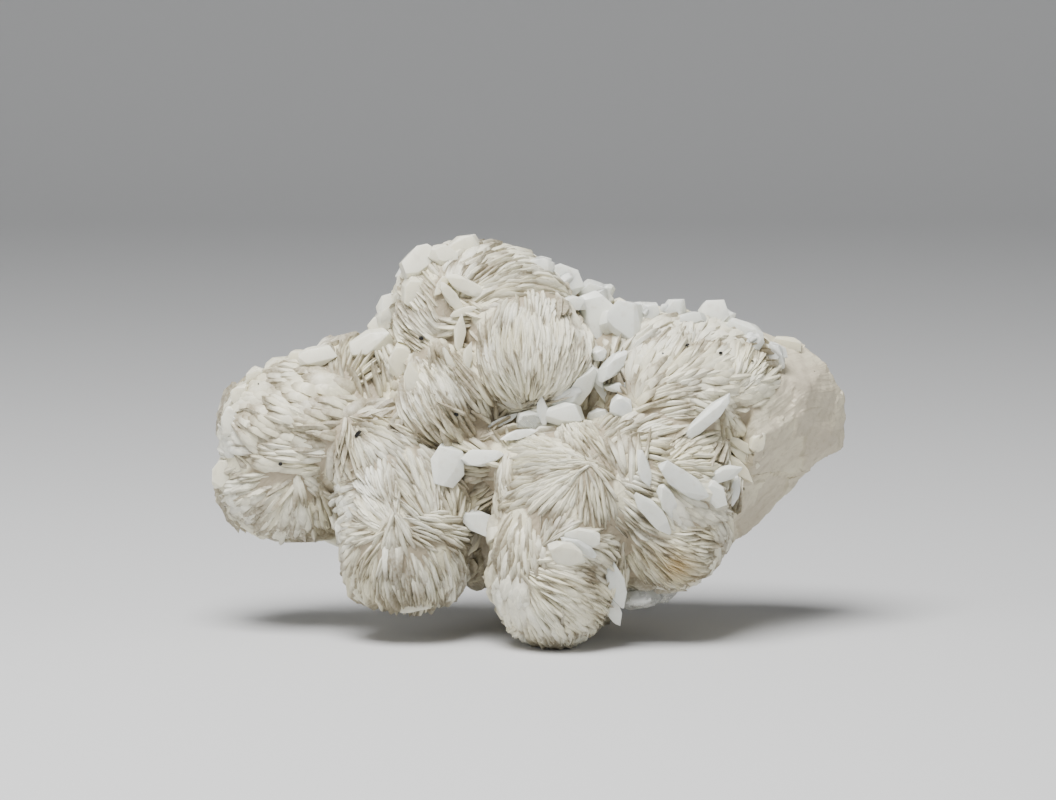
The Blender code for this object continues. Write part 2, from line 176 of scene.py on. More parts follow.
@dataclass(frozen=True)
class Lobe:
    """A ball of blades: its middle as seen, and its half sizes in millimetres."""

    middle: Place
    half_size: Place

    def centre(self) -> np.ndarray:
        """Return the middle as a point of the frame."""
        return spot(*self.middle)

    def half(self) -> np.ndarray:
        """Return the half sizes as an array."""
        return np.array(self.half_size)

    def seen_direction(self, across: float, up: float) -> np.ndarray:
        """Find the place on the lobe's front that is seen at a place of the view.

        Args:
            across: Millimetres right of the middle of the view.
            up: Millimetres up the view.

        Returns:
            The place as a unit direction in the lobe's own round space. Where the line of sight
            misses the lobe, it is the nearest place on its outline.
        """
        eye = (spot(across, up, -100.0) - self.centre()) / self.half()
        sight = np.array((0.0, math.cos(VIEW_TILT), -math.sin(VIEW_TILT))) / self.half()
        nearest = -eye.dot(sight) / sight.dot(sight)
        miss = eye + nearest * sight
        room = 1.0 - miss.dot(miss)
        if room > 0.0:
            nearest -= math.sqrt(room / sight.dot(sight))
        return unit(eye + nearest * sight)

    def point(self, direction: np.ndarray) -> np.ndarray:
        """Return the surface point for a unit direction of the lobe's round space."""
        return self.centre() + direction * self.half()

    def distance(self, points: np.ndarray) -> np.ndarray:
        """Measure how far points lie outside the lobe, negative inside.

        Args:
            points: The points.

        Returns:
            About how many millimetres each point is away from the surface.
        """
        away = points - self.centre()
        share = np.linalg.norm(away / self.half(), axis=-1)
        slope = np.linalg.norm(away / self.half() ** 2, axis=-1)
        return share * (share - 1.0) / np.maximum(slope, 1e-6)


LOBES = {
    "crown": Lobe((-6.9, 67.8, 25.0), (15.0, 14.0, 13.3)),
    "crown_left": Lobe((-17.4, 66.6, 24.0), (7.8, 10.0, 11.4)),
    "centre": Lobe((1.0, 58.5, 14.0), (11.0, 11.5, 11.0)),
    "upper_left": Lobe((-15.0, 50.0, 15.0), (9.5, 11.0, 10.0)),
    "far_left": Lobe((-46.2, 45.2, 24.0), (15.2, 14.0, 12.0)),
    "low_left": Lobe((-48.6, 31.4, 25.0), (12.9, 12.0, 10.4)),
    "shoulder": Lobe((-29.0, 40.0, 17.0), (10.5, 11.0, 9.0)),
    "left_foot": Lobe((-23.5, 27.5, 13.0), (13.2, 13.0, 13.0)),
    "left_toe": Lobe((-24.4, 18.0, 11.0), (11.0, 10.5, 9.4)),
    "front": Lobe((5.4, 15.2, 3.0), (12.8, 13.5, 15.4)),
    "front_top": Lobe((8.5, 32.0, 7.0), (14.0, 13.0, 12.0)),
    "right": Lobe((24.0, 33.0, 10.0), (17.0, 14.0, 13.5)),
    "right_low": Lobe((28.6, 22.6, 10.0), (10.4, 11.5, 11.0)),
    "right_top": Lobe((32.0, 53.6, 20.0), (18.2, 14.5, 13.3)),
    "heart": Lobe((-6.0, 37.5, 15.0), (11.0, 10.0, 9.5)),
    "pit_wall": Lobe((10.0, 48.0, 22.0), (9.0, 10.0, 9.0)),
    "saddle": Lobe((-32.0, 54.4, 26.0), (10.0, 9.0, 7.6)),
    "ridge": Lobe((18.6, 58.8, 26.0), (11.0, 9.5, 8.2)),
}


@dataclass(frozen=True)
class Sheaf:
    """A stack of blades as the front shows it: on which lobe, where its root and its middle are seen.

    Reach is its half width in millimetres. Curl turns the blades with distance from the root, in
    radians per millimetre. Pale is 1 for white barite and 0 for cream. Spiky is how far the outer
    blades stand free, from 0 to 1.
    """

    lobe: str
    root: Seen
    middle: Seen
    reach: float
    grade: Grade = Grade.FINE
    curl: float = 0.0
    pale: float = 0.4
    spiky: float = 0.2


FRONT_SHEAVES = (
    Sheaf("far_left", (-32.0, 41.0), (-46.0, 49.0), 13.0, Grade.SCALLOP, -0.03, 0.3),
    Sheaf("far_left", (-34.0, 40.5), (-46.0, 40.0), 8.0, Grade.FUSED, -0.02, 0.3),
    Sheaf("far_left", (-46.0, 50.0), (-54.0, 51.0), 6.0, Grade.SCALLOP, 0.0, 0.2),
    Sheaf("far_left", (-46.0, 42.0), (-60.0, 43.0), 5.5, Grade.FUSED, 0.0, 0.9),
    Sheaf("far_left", (-34.0, 40.0), (-39.0, 38.5), 6.0, Grade.MEDIUM, 0.0, 0.1),
    Sheaf("low_left", (-46.0, 34.5), (-57.0, 33.0), 8.0, Grade.FUSED, 0.0, 0.55),
    Sheaf("low_left", (-46.5, 34.0), (-46.0, 26.0), 9.0, Grade.FUSED, 0.0, 0.5),
    Sheaf("low_left", (-46.0, 33.0), (-41.0, 28.0), 6.0, Grade.MEDIUM, 0.0, 0.4),
    Sheaf("saddle", (-36.0, 52.0), (-35.0, 58.0), 6.0, Grade.MEDIUM, 0.0, 0.3),
    Sheaf("saddle", (-31.0, 45.0), (-31.5, 50.0), 5.0, Grade.MEDIUM, 0.0, 0.3),
    Sheaf("left_foot", (-27.0, 31.0), (-36.0, 30.0), 7.0, Grade.FUSED, 0.0, 0.95),
    Sheaf("left_foot", (-25.5, 24.0), (-29.0, 31.0), 7.5, Grade.FINE, 0.02, 0.6),
    Sheaf("left_foot", (-26.5, 27.0), (-18.5, 20.5), 8.0, Grade.MEDIUM, -0.04, 0.5),
    Sheaf("left_foot", (-25.5, 26.5), (-31.5, 20.5), 7.0, Grade.MEDIUM, 0.03, 0.4),
    Sheaf("left_foot", (-26.0, 28.5), (-25.5, 21.5), 6.5, Grade.MEDIUM, 0.0, 0.5),
    Sheaf("left_foot", (-18.0, 24.0), (-21.0, 32.0), 7.5, Grade.MEDIUM, 0.0, 0.5),
    Sheaf("left_foot", (-14.0, 24.0), (-14.0, 30.0), 5.0, Grade.MEDIUM, 0.0, 0.3),
    Sheaf("left_toe", (-25.5, 25.0), (-17.5, 16.5), 11.0, Grade.MEDIUM, -0.02, 0.5, 1.0),
    Sheaf("left_toe", (-25.5, 24.0), (-29.0, 13.5), 11.0, Grade.MEDIUM, 0.0, 0.4, 1.0),
    Sheaf("left_toe", (-25.0, 29.0), (-25.0, 20.5), 5.5, Grade.FUSED, 0.0, 0.5),
    Sheaf("shoulder", (-35.0, 45.5), (-28.5, 40.0), 7.0, Grade.MEDIUM, 0.0, 0.4),
    Sheaf("shoulder", (-18.0, 39.5), (-22.5, 39.5), 4.5, Grade.FINE, 0.0, 0.6),
    Sheaf("shoulder", (-22.0, 49.0), (-24.5, 44.5), 5.0, Grade.FUSED, 0.0, 0.9),
    Sheaf("upper_left", (-10.0, 41.5), (-18.0, 52.0), 9.5, Grade.MEDIUM, 0.02, 0.5),
    Sheaf("upper_left", (-7.0, 43.0), (-8.5, 50.0), 5.5, Grade.COARSE, 0.0, 0.35),
    Sheaf("upper_left", (-11.0, 40.5), (-15.0, 44.0), 5.0, Grade.COARSE, 0.0, 0.2),
    Sheaf("crown_left", (-13.5, 60.5), (-20.5, 66.0), 8.0, Grade.MEDIUM, 0.0, 0.4),
    Sheaf("crown_left", (-15.5, 67.5), (-19.0, 74.0), 6.0, Grade.MEDIUM, 0.0, 0.4),
    Sheaf("crown", (-14.5, 69.5), (-1.5, 73.5), 13.0, Grade.MEDIUM, -0.045, 0.45),
    Sheaf("crown", (-16.0, 72.5), (-10.0, 79.0), 7.0, Grade.FUSED, 0.0, 0.6),
    Sheaf("crown", (-6.0, 66.0), (-10.5, 65.0), 5.0, Grade.COARSE, 0.0, 0.3),
    Sheaf("centre", (0.5, 48.0), (0.5, 59.0), 12.5, Grade.FINE, 0.0, 0.45),
    Sheaf("centre", (3.0, 56.0), (2.5, 67.0), 5.0, Grade.FINE, 0.0, 0.5),
    Sheaf("ridge", (24.0, 56.0), (15.0, 60.5), 10.0, Grade.FUSED, 0.0, 0.6),
    Sheaf("ridge", (17.0, 62.0), (10.0, 61.0), 9.0, Grade.FUSED, 0.0, 0.6),
    Sheaf("crown", (0.0, 60.0), (7.0, 64.0), 7.0, Grade.FUSED, 0.0, 0.5),
    Sheaf("pit_wall", (10.0, 43.0), (12.0, 52.0), 8.0, Grade.FUSED, 0.0, 0.5),
    Sheaf("heart", (-7.5, 42.5), (-4.5, 45.0), 4.0, Grade.COARSE, 0.0, 0.2),
    Sheaf("heart", (-2.0, 36.0), (-9.0, 31.5), 7.0, Grade.COARSE, 0.0, 0.1),
    Sheaf("heart", (-4.0, 38.0), (-1.5, 41.0), 5.0, Grade.MEDIUM, 0.0, 0.5),
    Sheaf("right_top", (22.0, 49.0), (29.0, 56.0), 8.0, Grade.FUSED, 0.0, 0.3),
    Sheaf("right_top", (19.0, 57.0), (22.0, 63.0), 6.0, Grade.FUSED, 0.0, 0.6),
    Sheaf("right_top", (28.0, 52.5), (38.0, 54.5), 7.5, Grade.FUSED, 0.0, 0.3),
    Sheaf("right_top", (40.0, 50.5), (46.5, 54.0), 7.0, Grade.FUSED, 0.0, 0.2),
    Sheaf("right_top", (40.0, 48.0), (45.0, 46.0), 6.0, Grade.MEDIUM, 0.0, 0.2),
    Sheaf("right_top", (33.0, 60.0), (38.0, 64.5), 7.0, Grade.FUSED, 0.0, 0.5),
    Sheaf("right_top", (37.0, 46.0), (43.0, 41.0), 6.0, Grade.MEDIUM, 0.0, 0.25),
    Sheaf("right", (25.0, 36.0), (32.5, 40.5), 7.0, Grade.MEDIUM, 0.0, 0.15),
    Sheaf("right", (17.0, 40.0), (26.0, 44.0), 8.0, Grade.MEDIUM, 0.0, 0.45),
    Sheaf("right", (12.5, 35.5), (17.5, 43.5), 7.0, Grade.MEDIUM, 0.0, 0.45),
    Sheaf("front_top", (13.0, 37.0), (5.0, 39.0), 7.5, Grade.FINE, 0.0, 0.45),
    Sheaf("front_top", (12.5, 36.5), (5.0, 31.0), 8.0, Grade.MEDIUM, 0.0, 0.4),
    Sheaf("front_top", (11.5, 37.0), (14.0, 28.0), 8.0, Grade.MEDIUM, 0.0, 0.4),
    Sheaf("right", (13.0, 36.0), (18.5, 30.0), 8.0, Grade.MEDIUM, 0.0, 0.45),
    Sheaf("right", (22.0, 30.0), (20.5, 36.0), 4.0, Grade.COARSE, 0.0, 0.5),
    Sheaf("right", (24.0, 34.0), (33.0, 26.5), 8.5, Grade.FUSED, 0.0, 0.5),
    Sheaf("right_low", (21.5, 24.5), (28.0, 17.5), 8.0, Grade.FINE, 0.0, 0.15),
    Sheaf("right_low", (18.0, 21.0), (22.0, 13.0), 7.0, Grade.MEDIUM, 0.0, 0.4),
    Sheaf("right_low", (30.0, 30.0), (39.0, 22.0), 7.0, Grade.MEDIUM, 0.0, 0.5),
    Sheaf("front", (-2.0, 18.0), (7.5, 10.0), 11.0, Grade.MEDIUM, -0.02, 0.35, 0.5),
    Sheaf("front", (-1.0, 18.5), (-3.5, 10.0), 7.0, Grade.FUSED, 0.02, 0.6),
    Sheaf("front", (3.0, 29.0), (-2.5, 21.5), 6.5, Grade.MEDIUM, 0.0, 0.45),
    Sheaf("front", (3.0, 20.0), (9.5, 24.0), 7.0, Grade.FINE, 0.0, 0.5),
    Sheaf("front", (6.0, 20.0), (14.0, 19.0), 6.5, Grade.MEDIUM, 0.0, 0.4),
)


@dataclass
class Bundle:
    """A sheaf placed in space: its lobe, the root as a direction, its middle, and how its blades are."""

    lobe: str
    root: np.ndarray
    middle: np.ndarray
    reach: float
    grade: Grade
    curl: float
    pale: float
    spiky: float


@dataclass
class Seats:
    """Where blades stand: one row for each blade in every array."""

    point: np.ndarray
    along: np.ndarray
    outward: np.ndarray
    edge: np.ndarray
    free: np.ndarray
    bundle: np.ndarray

    def columns(self) -> tuple[np.ndarray, ...]:
        """Return the arrays in the order in which they are held."""
        return self.point, self.along, self.outward, self.edge, self.free, self.bundle

    def only(self, kept: np.ndarray) -> "Seats":
        """Return the seats for which kept is true."""
        return Seats(*(column[kept] for column in self.columns()))


def merged(parts: list[Seats]) -> Seats:
    """Return several lots of seats as one."""
    return Seats(*(np.concatenate(columns) for columns in zip(*(part.columns() for part in parts))))


# Corners of the broken massive barite behind the rosettes, each block the hull of its corners.
BROKEN_BLOCKS = {
    "right_end": (
        (43.0, 65.0, 30.0), (54.0, 62.4, 31.0), (61.6, 57.0, 29.0), (64.8, 51.0, 30.0),
        (65.4, 45.6, 31.0), (65.2, 39.6, 30.5), (57.6, 35.0, 25.0), (44.0, 34.0, 12.0),
        (57.3, 52.6, 19.0), (55.9, 46.6, 16.0), (47.0, 42.0, 9.0), (43.0, 56.0, 12.0),
        (57.0, 52.0, 42.0), (56.0, 42.0, 44.0), (30.0, 58.0, 46.0), (28.0, 34.0, 47.0),
    ),
    "right_tail": (
        (57.4, 35.4, 27.0), (49.4, 29.4, 23.0), (46.8, 24.6, 22.0), (41.8, 20.0, 20.0),
        (36.0, 24.0, 12.0), (44.0, 36.0, 11.0), (54.0, 46.0, 17.0), (50.0, 44.0, 42.0),
        (44.0, 26.0, 38.0), (28.0, 34.0, 47.0), (30.0, 22.0, 30.0),
    ),
    "middle": (
        (-24.0, 70.0, 28.0), (-6.0, 77.0, 28.0), (8.0, 72.0, 30.0), (40.0, 60.0, 28.0),
        (44.0, 30.0, 24.0), (26.0, 14.0, 18.0), (0.0, 12.0, 16.0), (-12.0, 16.0, 17.0),
        (-24.0, 24.0, 20.0), (-20.0, 66.0, 40.0), (-4.0, 70.0, 42.0), (20.0, 60.0, 46.0),
        (24.0, 30.0, 46.0), (2.0, 18.0, 44.0), (-16.0, 34.0, 43.0),
    ),
    "left_end": (
        (-57.0, 38.0, 26.0), (-52.0, 49.0, 28.0), (-34.0, 56.0, 26.0), (-46.0, 26.0, 26.0),
        (-30.0, 20.0, 20.0), (-50.0, 34.0, 37.0), (-44.0, 46.0, 39.0), (-26.0, 52.0, 42.0),
        (-20.0, 40.0, 43.0), (-28.0, 26.0, 38.0), (-14.0, 20.0, 16.0), (-24.0, 18.0, 22.0),
        (-57.0, 32.0, 28.0), (-12.0, 26.0, 36.0),
    ),
    "foot": (
        (-2.5, 1.5, 30.0), (13.0, 1.5, 31.0), (18.0, 3.0, 41.0), (-4.0, 3.2, 43.0),
        (6.0, 3.0, 46.0), (-8.0, 22.0, 24.0), (24.0, 20.0, 24.0), (26.0, 26.0, 44.0),
        (-9.0, 24.0, 42.0), (8.0, 22.0, 48.0),
    ),
    "gap_wall": (
        (-16.0, 17.0, 16.0), (-6.0, 11.4, 15.0), (-11.0, 12.2, 22.0), (2.0, 16.0, 12.0),
        (-18.0, 24.0, 12.0), (-4.0, 26.0, 8.0), (-14.0, 20.0, 34.0), (4.0, 14.0, 34.0),
    ),
    "high_ledge": (
        (2.0, 64.0, 40.0), (14.0, 62.0, 43.0), (24.0, 54.0, 49.0), (18.0, 46.0, 50.5),
        (4.0, 50.0, 47.0), (28.0, 44.0, 44.0), (-4.0, 56.0, 40.0), (12.0, 40.0, 42.0),
    ),
    "left_ledge": (
        (-38.0, 50.0, 38.0), (-24.0, 47.0, 45.5), (-18.0, 40.0, 46.5), (-32.0, 38.0, 44.0),
        (-42.0, 40.0, 37.0), (-22.0, 32.0, 41.0), (-12.0, 44.0, 40.0),
    ),
}


@dataclass(frozen=True)
class Hollow:
    """A cavity between sheaves: where the front shows it, how wide and how deep in millimetres."""

    place: Seen
    width: float
    depth: float


HOLLOWS = (
    Hollow((-9.5, 44.5), 3.6, 3.0),
    Hollow((-5.5, 47.0), 2.6, 2.4),
    Hollow((-9.0, 31.0), 3.6, 2.6),
    Hollow((-8.6, 20.0), 2.8, 3.0),
    Hollow((14.6, 14.4), 2.6, 2.2),
    Hollow((13.7, 49.2), 3.4, 4.0),
    Hollow((18.5, 52.0), 2.6, 2.6),
    Hollow((-33.0, 44.0), 2.4, 1.0),
    Hollow((-28.0, 49.6), 2.6, 1.2),
    Hollow((4.6, 25.6), 2.2, 1.6),
)


# Where an ochre stain shows, with its width and, as depth, its strength.
STAINS = (
    Hollow((30.5, 16.2), 2.6, 2.0),
    Hollow((33.2, 13.6), 1.8, 1.2),
    Hollow((28.6, 18.8), 1.8, 1.0),
)


class Habit(Enum):
    """The outline of a distinct crystal, as the angles and distances of its side faces."""

    SHIELD = ((0, 0.9), (62, 1.0), (118, 0.92), (180, 0.85), (238, 1.05), (300, 0.95))
    LENS = (
        (28, 0.74), (62, 0.76), (118, 0.76), (152, 0.74),
        (208, 0.74), (242, 0.76), (298, 0.76), (332, 0.74),
    )
    LATH = ((0, 1.0), (42, 0.9), (90, 0.86), (138, 0.9), (180, 1.0), (222, 0.9), (270, 0.86), (318, 0.9))
    BLOCK = ((8, 0.86), (62, 0.9), (112, 0.9), (170, 0.84), (236, 0.92), (296, 0.88))


@dataclass(frozen=True)
class Crystal:
    """A distinct crystal: its place, full length, width and thickness, habit and how it lies.

    The place is where its middle is seen and how far behind the surface it lies. Lean is the angle of
    its length in the view, turn swings it to the side and nod tips it back, in degrees. Round is how
    wide its softened edges are, in millimetres. Warm is 0 for a milky and 1 for a cream crystal.
    """

    place: Place
    size: Place
    habit: Habit
    lean: float = 0.0
    turn: float = 0.0
    nod: float = 0.0
    round: float = 0.22
    warm: float = 0.0


PLATES = (
    Crystal((-15.7, 36.4, -0.6), (8.8, 6.2, 2.2), Habit.SHIELD, 75.0, 10.0, -10.0),
    Crystal((-8.6, 38.2, -0.6), (11.5, 3.8, 2.2), Habit.LENS, 8.0, -12.0, -20.0),
    Crystal((-7.9, 24.6, -1.0), (10.8, 4.8, 1.8), Habit.LATH, -22.0, 8.0, -10.0),
    Crystal((8.2, 19.2, -0.2), (9.6, 5.6, 1.8), Habit.LENS, -24.0, 0.0, 14.0, 0.3, 0.6),
    Crystal((11.4, 22.4, 0.2), (7.4, 4.2, 1.6), Habit.LATH, -10.0, 10.0, 10.0, 0.3, 0.3),
    Crystal((16.9, 8.5, -0.4), (9.4, 3.6, 1.6), Habit.LENS, -54.0, 14.0, 20.0),
    Crystal((17.9, 13.0, 0.0), (9.8, 4.2, 1.6), Habit.LATH, -74.0, 20.0, 10.0),
    Crystal((35.9, 45.8, -1.0), (13.4, 2.8, 2.0), Habit.LATH, 42.0, 14.0, 0.0),
    Crystal((31.3, 33.4, -1.0), (11.6, 4.4, 2.4), Habit.LATH, -34.0, 16.0, 0.0),
    Crystal((23.5, 36.0, -0.6), (9.0, 2.8, 1.6), Habit.LENS, -76.0, 10.0, 0.0),
    Crystal((25.3, 27.2, -0.4), (10.8, 3.8, 1.8), Habit.LATH, -50.0, 14.0, 10.0),
    Crystal((28.0, 29.6, 0.0), (7.6, 3.2, 1.8), Habit.LATH, -66.0, 24.0, 10.0),
    Crystal((39.3, 34.8, -0.4), (7.0, 3.2, 2.0), Habit.LATH, 14.0, 24.0, 0.0),
    Crystal((37.6, 31.0, 0.2), (5.6, 3.6, 2.0), Habit.SHIELD, -60.0, 14.0, 0.0),
    Crystal((41.6, 31.6, 0.4), (7.4, 2.6, 1.6), Habit.LENS, 84.0, 24.0, 0.0),
    Crystal((-14.7, 70.0, -0.4), (8.6, 3.0, 1.8), Habit.LENS, -53.0, 10.0, 0.0, 0.3, 0.8),
    Crystal((-11.9, 72.4, -0.8), (9.0, 3.2, 1.8), Habit.LATH, -27.0, 0.0, 0.0, 0.3, 0.7),
    Crystal((-16.6, 72.6, -0.2), (6.6, 2.6, 1.6), Habit.LENS, 55.0, 0.0, 0.0, 0.3, 0.8),
    Crystal((-12.2, 67.4, -0.2), (7.0, 2.0, 1.6), Habit.LENS, 17.0, 0.0, 0.0, 0.3, 0.9),
    Crystal((-13.1, 62.8, -0.6), (9.4, 2.8, 1.8), Habit.LENS, 85.0, 10.0, 0.0, 0.3, 0.8),
    Crystal((-11.6, 58.0, 0.0), (7.0, 2.2, 1.6), Habit.LENS, 82.0, 10.0, 0.0, 0.3, 0.8),
    Crystal((-15.0, 57.0, 0.0), (7.6, 1.8, 1.4), Habit.LENS, -66.0, 10.0, 0.0, 0.22, 0.8),
    Crystal((3.4, 47.4, 0.4), (6.6, 2.8, 1.6), Habit.LENS, -82.0, 0.0, 0.0),
    Crystal((-1.4, 42.6, 0.0), (9.0, 2.0, 1.4), Habit.LENS, 12.0, 0.0, -10.0),
    Crystal((-4.6, 45.4, 0.2), (8.0, 2.0, 1.4), Habit.LENS, 22.0, 0.0, -10.0),
    Crystal((10.6, 20.4, 0.6), (8.0, 3.0, 1.4), Habit.LATH, -30.0, 10.0, 14.0),
)

BLOCKS = (
    Crystal((7.7, 46.7, -0.4), (7.8, 4.6, 4.6), Habit.BLOCK, 6.0, 0.0, -10.0, 0.8),
    Crystal((10.8, 52.2, 0.4), (9.4, 4.6, 3.6), Habit.LATH, 52.0, 24.0, 0.0, 0.3),
    Crystal((8.2, 50.4, 0.8), (6.6, 3.4, 2.6), Habit.LATH, 24.0, 10.0, 0.0, 0.25),
    Crystal((1.2, 45.6, 0.8), (6.6, 4.0, 3.6), Habit.BLOCK, 4.0, 0.0, 0.0, 0.8),
    Crystal((15.6, 51.0, 0.6), (7.0, 1.8, 1.6), Habit.LATH, -52.0, 0.0, 0.0, 0.2),
    Crystal((14.2, 54.4, 0.6), (5.6, 2.2, 2.0), Habit.LATH, -60.0, 0.0, 0.0, 0.25),
    Crystal((-21.4, 77.0, 1.0), (9.4, 6.0, 6.4), Habit.BLOCK, 32.0, 10.0, -20.0, 0.7, 0.5),
    Crystal((-16.6, 78.4, 1.4), (6.4, 4.4, 5.0), Habit.BLOCK, -14.0, 10.0, -20.0, 0.6, 0.6),
    Crystal((-12.6, 80.4, 1.6), (7.4, 4.6, 4.4), Habit.BLOCK, 24.0, 0.0, 0.0, 0.5, 0.6),
    Crystal((-22.4, 71.6, 1.4), (7.0, 5.4, 5.0), Habit.BLOCK, 70.0, 10.0, 0.0, 0.7, 0.8),
    Crystal((-27.2, 68.2, 0.8), (7.6, 6.0, 6.0), Habit.BLOCK, 44.0, 0.0, -10.0, 1.1, 0.4),
    Crystal((-28.8, 64.0, 1.4), (6.6, 4.8, 5.0), Habit.BLOCK, 30.0, 0.0, -10.0, 0.8, 0.7),
    Crystal((-31.6, 60.6, 0.6), (10.4, 5.6, 6.0), Habit.BLOCK, 22.0, 0.0, -20.0, 1.0, 0.5),
    Crystal((-42.4, 58.0, 0.8), (7.6, 4.4, 5.6), Habit.BLOCK, 16.0, 0.0, -20.0, 0.9, 0.6),
    Crystal((-25.2, 57.6, 0.0), (7.6, 4.4, 3.6), Habit.BLOCK, 76.0, 0.0, 0.0, 0.7, 0.8),
    Crystal((-22.4, 53.4, 0.2), (8.0, 3.6, 3.0), Habit.LATH, -80.0, 0.0, 0.0, 0.5, 0.8),
    Crystal((7.8, 73.8, 0.8), (8.2, 6.2, 6.0), Habit.BLOCK, -44.0, 0.0, -10.0, 1.0),
    Crystal((3.2, 76.4, 1.4), (6.0, 3.8, 4.6), Habit.BLOCK, -10.0, 0.0, 0.0, 0.8),
    Crystal((9.6, 69.0, 0.8), (5.0, 3.2, 3.0), Habit.BLOCK, -8.0, 0.0, 0.0, 0.7),
    Crystal((14.4, 66.0, 0.0), (13.0, 7.4, 7.0), Habit.BLOCK, -54.0, 6.0, -8.0, 1.1),
    Crystal((20.3, 65.4, -0.2), (8.8, 6.8, 6.0), Habit.BLOCK, 76.0, -10.0, 0.0, 0.8),
    Crystal((25.0, 67.0, 0.8), (5.0, 4.2, 4.4), Habit.BLOCK, 84.0, 0.0, 0.0, 0.8),
    Crystal((29.8, 67.6, 1.2), (5.4, 5.0, 4.6), Habit.BLOCK, 80.0, 0.0, 0.0, 1.0),
    Crystal((33.4, 65.8, 0.6), (6.4, 3.0, 3.4), Habit.BLOCK, 8.0, 0.0, 0.0, 0.8),
    Crystal((37.6, 66.6, 0.2), (6.8, 6.0, 5.0), Habit.BLOCK, 80.0, 0.0, -14.0, 0.8),
    Crystal((40.4, 65.8, 0.6), (4.4, 3.6, 3.6), Habit.BLOCK, 60.0, 0.0, 0.0, 0.7),
    Crystal((44.0, 63.2, 0.6), (8.6, 4.6, 4.4), Habit.BLOCK, -24.0, 0.0, 0.0, 0.5),
    Crystal((45.8, 61.2, -0.2), (4.0, 3.4, 3.0), Habit.BLOCK, 30.0, 0.0, 0.0, 0.7),
    Crystal((49.0, 59.2, 0.0), (7.8, 3.4, 3.4), Habit.BLOCK, -4.0, 10.0, -10.0, 0.6),
    Crystal((53.0, 60.6, 2.0), (7.0, 4.0, 5.0), Habit.BLOCK, -20.0, 10.0, 0.0, 0.6, 0.9),
    Crystal((14.8, 58.8, 0.4), (3.2, 2.8, 2.6), Habit.BLOCK, 30.0, 20.0, 0.0, 0.6),
    Crystal((17.5, 56.4, -0.2), (7.4, 3.4, 3.0), Habit.LATH, 50.0, 20.0, 0.0, 0.5),
    Crystal((19.6, 52.2, -0.2), (7.2, 2.2, 2.2), Habit.LATH, 2.0, 0.0, 0.0, 0.3),
    Crystal((19.2, 48.2, 0.0), (5.0, 4.4, 3.6), Habit.BLOCK, 70.0, 0.0, 0.0, 0.9),
    Crystal((14.6, 46.4, 0.6), (5.0, 3.0, 3.0), Habit.BLOCK, 14.0, 0.0, 0.0, 0.8),
    Crystal((-61.2, 34.8, 1.8), (8.4, 5.4, 5.0), Habit.LENS, 66.0, 0.0, 0.0, 1.5, 0.7),
    Crystal((-57.6, 50.6, 1.2), (6.0, 3.8, 5.0), Habit.LENS, 62.0, 0.0, 0.0, 1.1, 0.8),
    Crystal((-54.6, 54.4, 1.0), (5.4, 3.6, 4.4), Habit.LENS, 40.0, 0.0, 0.0, 1.0, 0.7),
    Crystal((-50.6, 56.6, 1.2), (6.0, 3.4, 4.4), Habit.LENS, 28.0, 0.0, 0.0, 1.0, 0.8),
    Crystal((-46.2, 58.2, 1.0), (5.6, 3.6, 4.4), Habit.LENS, 18.0, 0.0, 0.0, 1.0, 0.8),
    Crystal((-59.6, 45.4, 1.2), (7.4, 4.4, 5.0), Habit.LENS, 80.0, 0.0, 0.0, 1.3, 0.4),
    Crystal((43.0, 40.6, 1.6), (9.0, 2.4, 4.0), Habit.LATH, -30.0, 10.0, 0.0, 0.5, 1.0),
    Crystal((43.6, 38.4, 1.6), (8.4, 2.2, 4.0), Habit.LATH, -38.0, 10.0, 0.0, 0.5, 1.0),
    Crystal((42.8, 36.0, 1.4), (8.0, 2.6, 4.0), Habit.LATH, -48.0, 10.0, 0.0, 0.5, 1.0),
    Crystal((46.2, 41.4, 1.6), (5.0, 3.0, 3.6), Habit.BLOCK, 60.0, 10.0, 0.0, 0.5, 1.0),
    Crystal((-38.6, 21.6, 2.0), (7.0, 3.6, 2.4), Habit.LATH, -22.0, 10.0, 0.0, 0.3, 0.6),
    Crystal((-22.6, 8.8, 2.4), (10.6, 4.0, 5.0), Habit.LENS, 6.0, 0.0, 0.0, 1.0, 0.6),
    Crystal((-27.8, 66.0, 1.6), (7.0, 5.0, 5.0), Habit.BLOCK, 50.0, 0.0, 0.0, 0.8, 0.7),
)

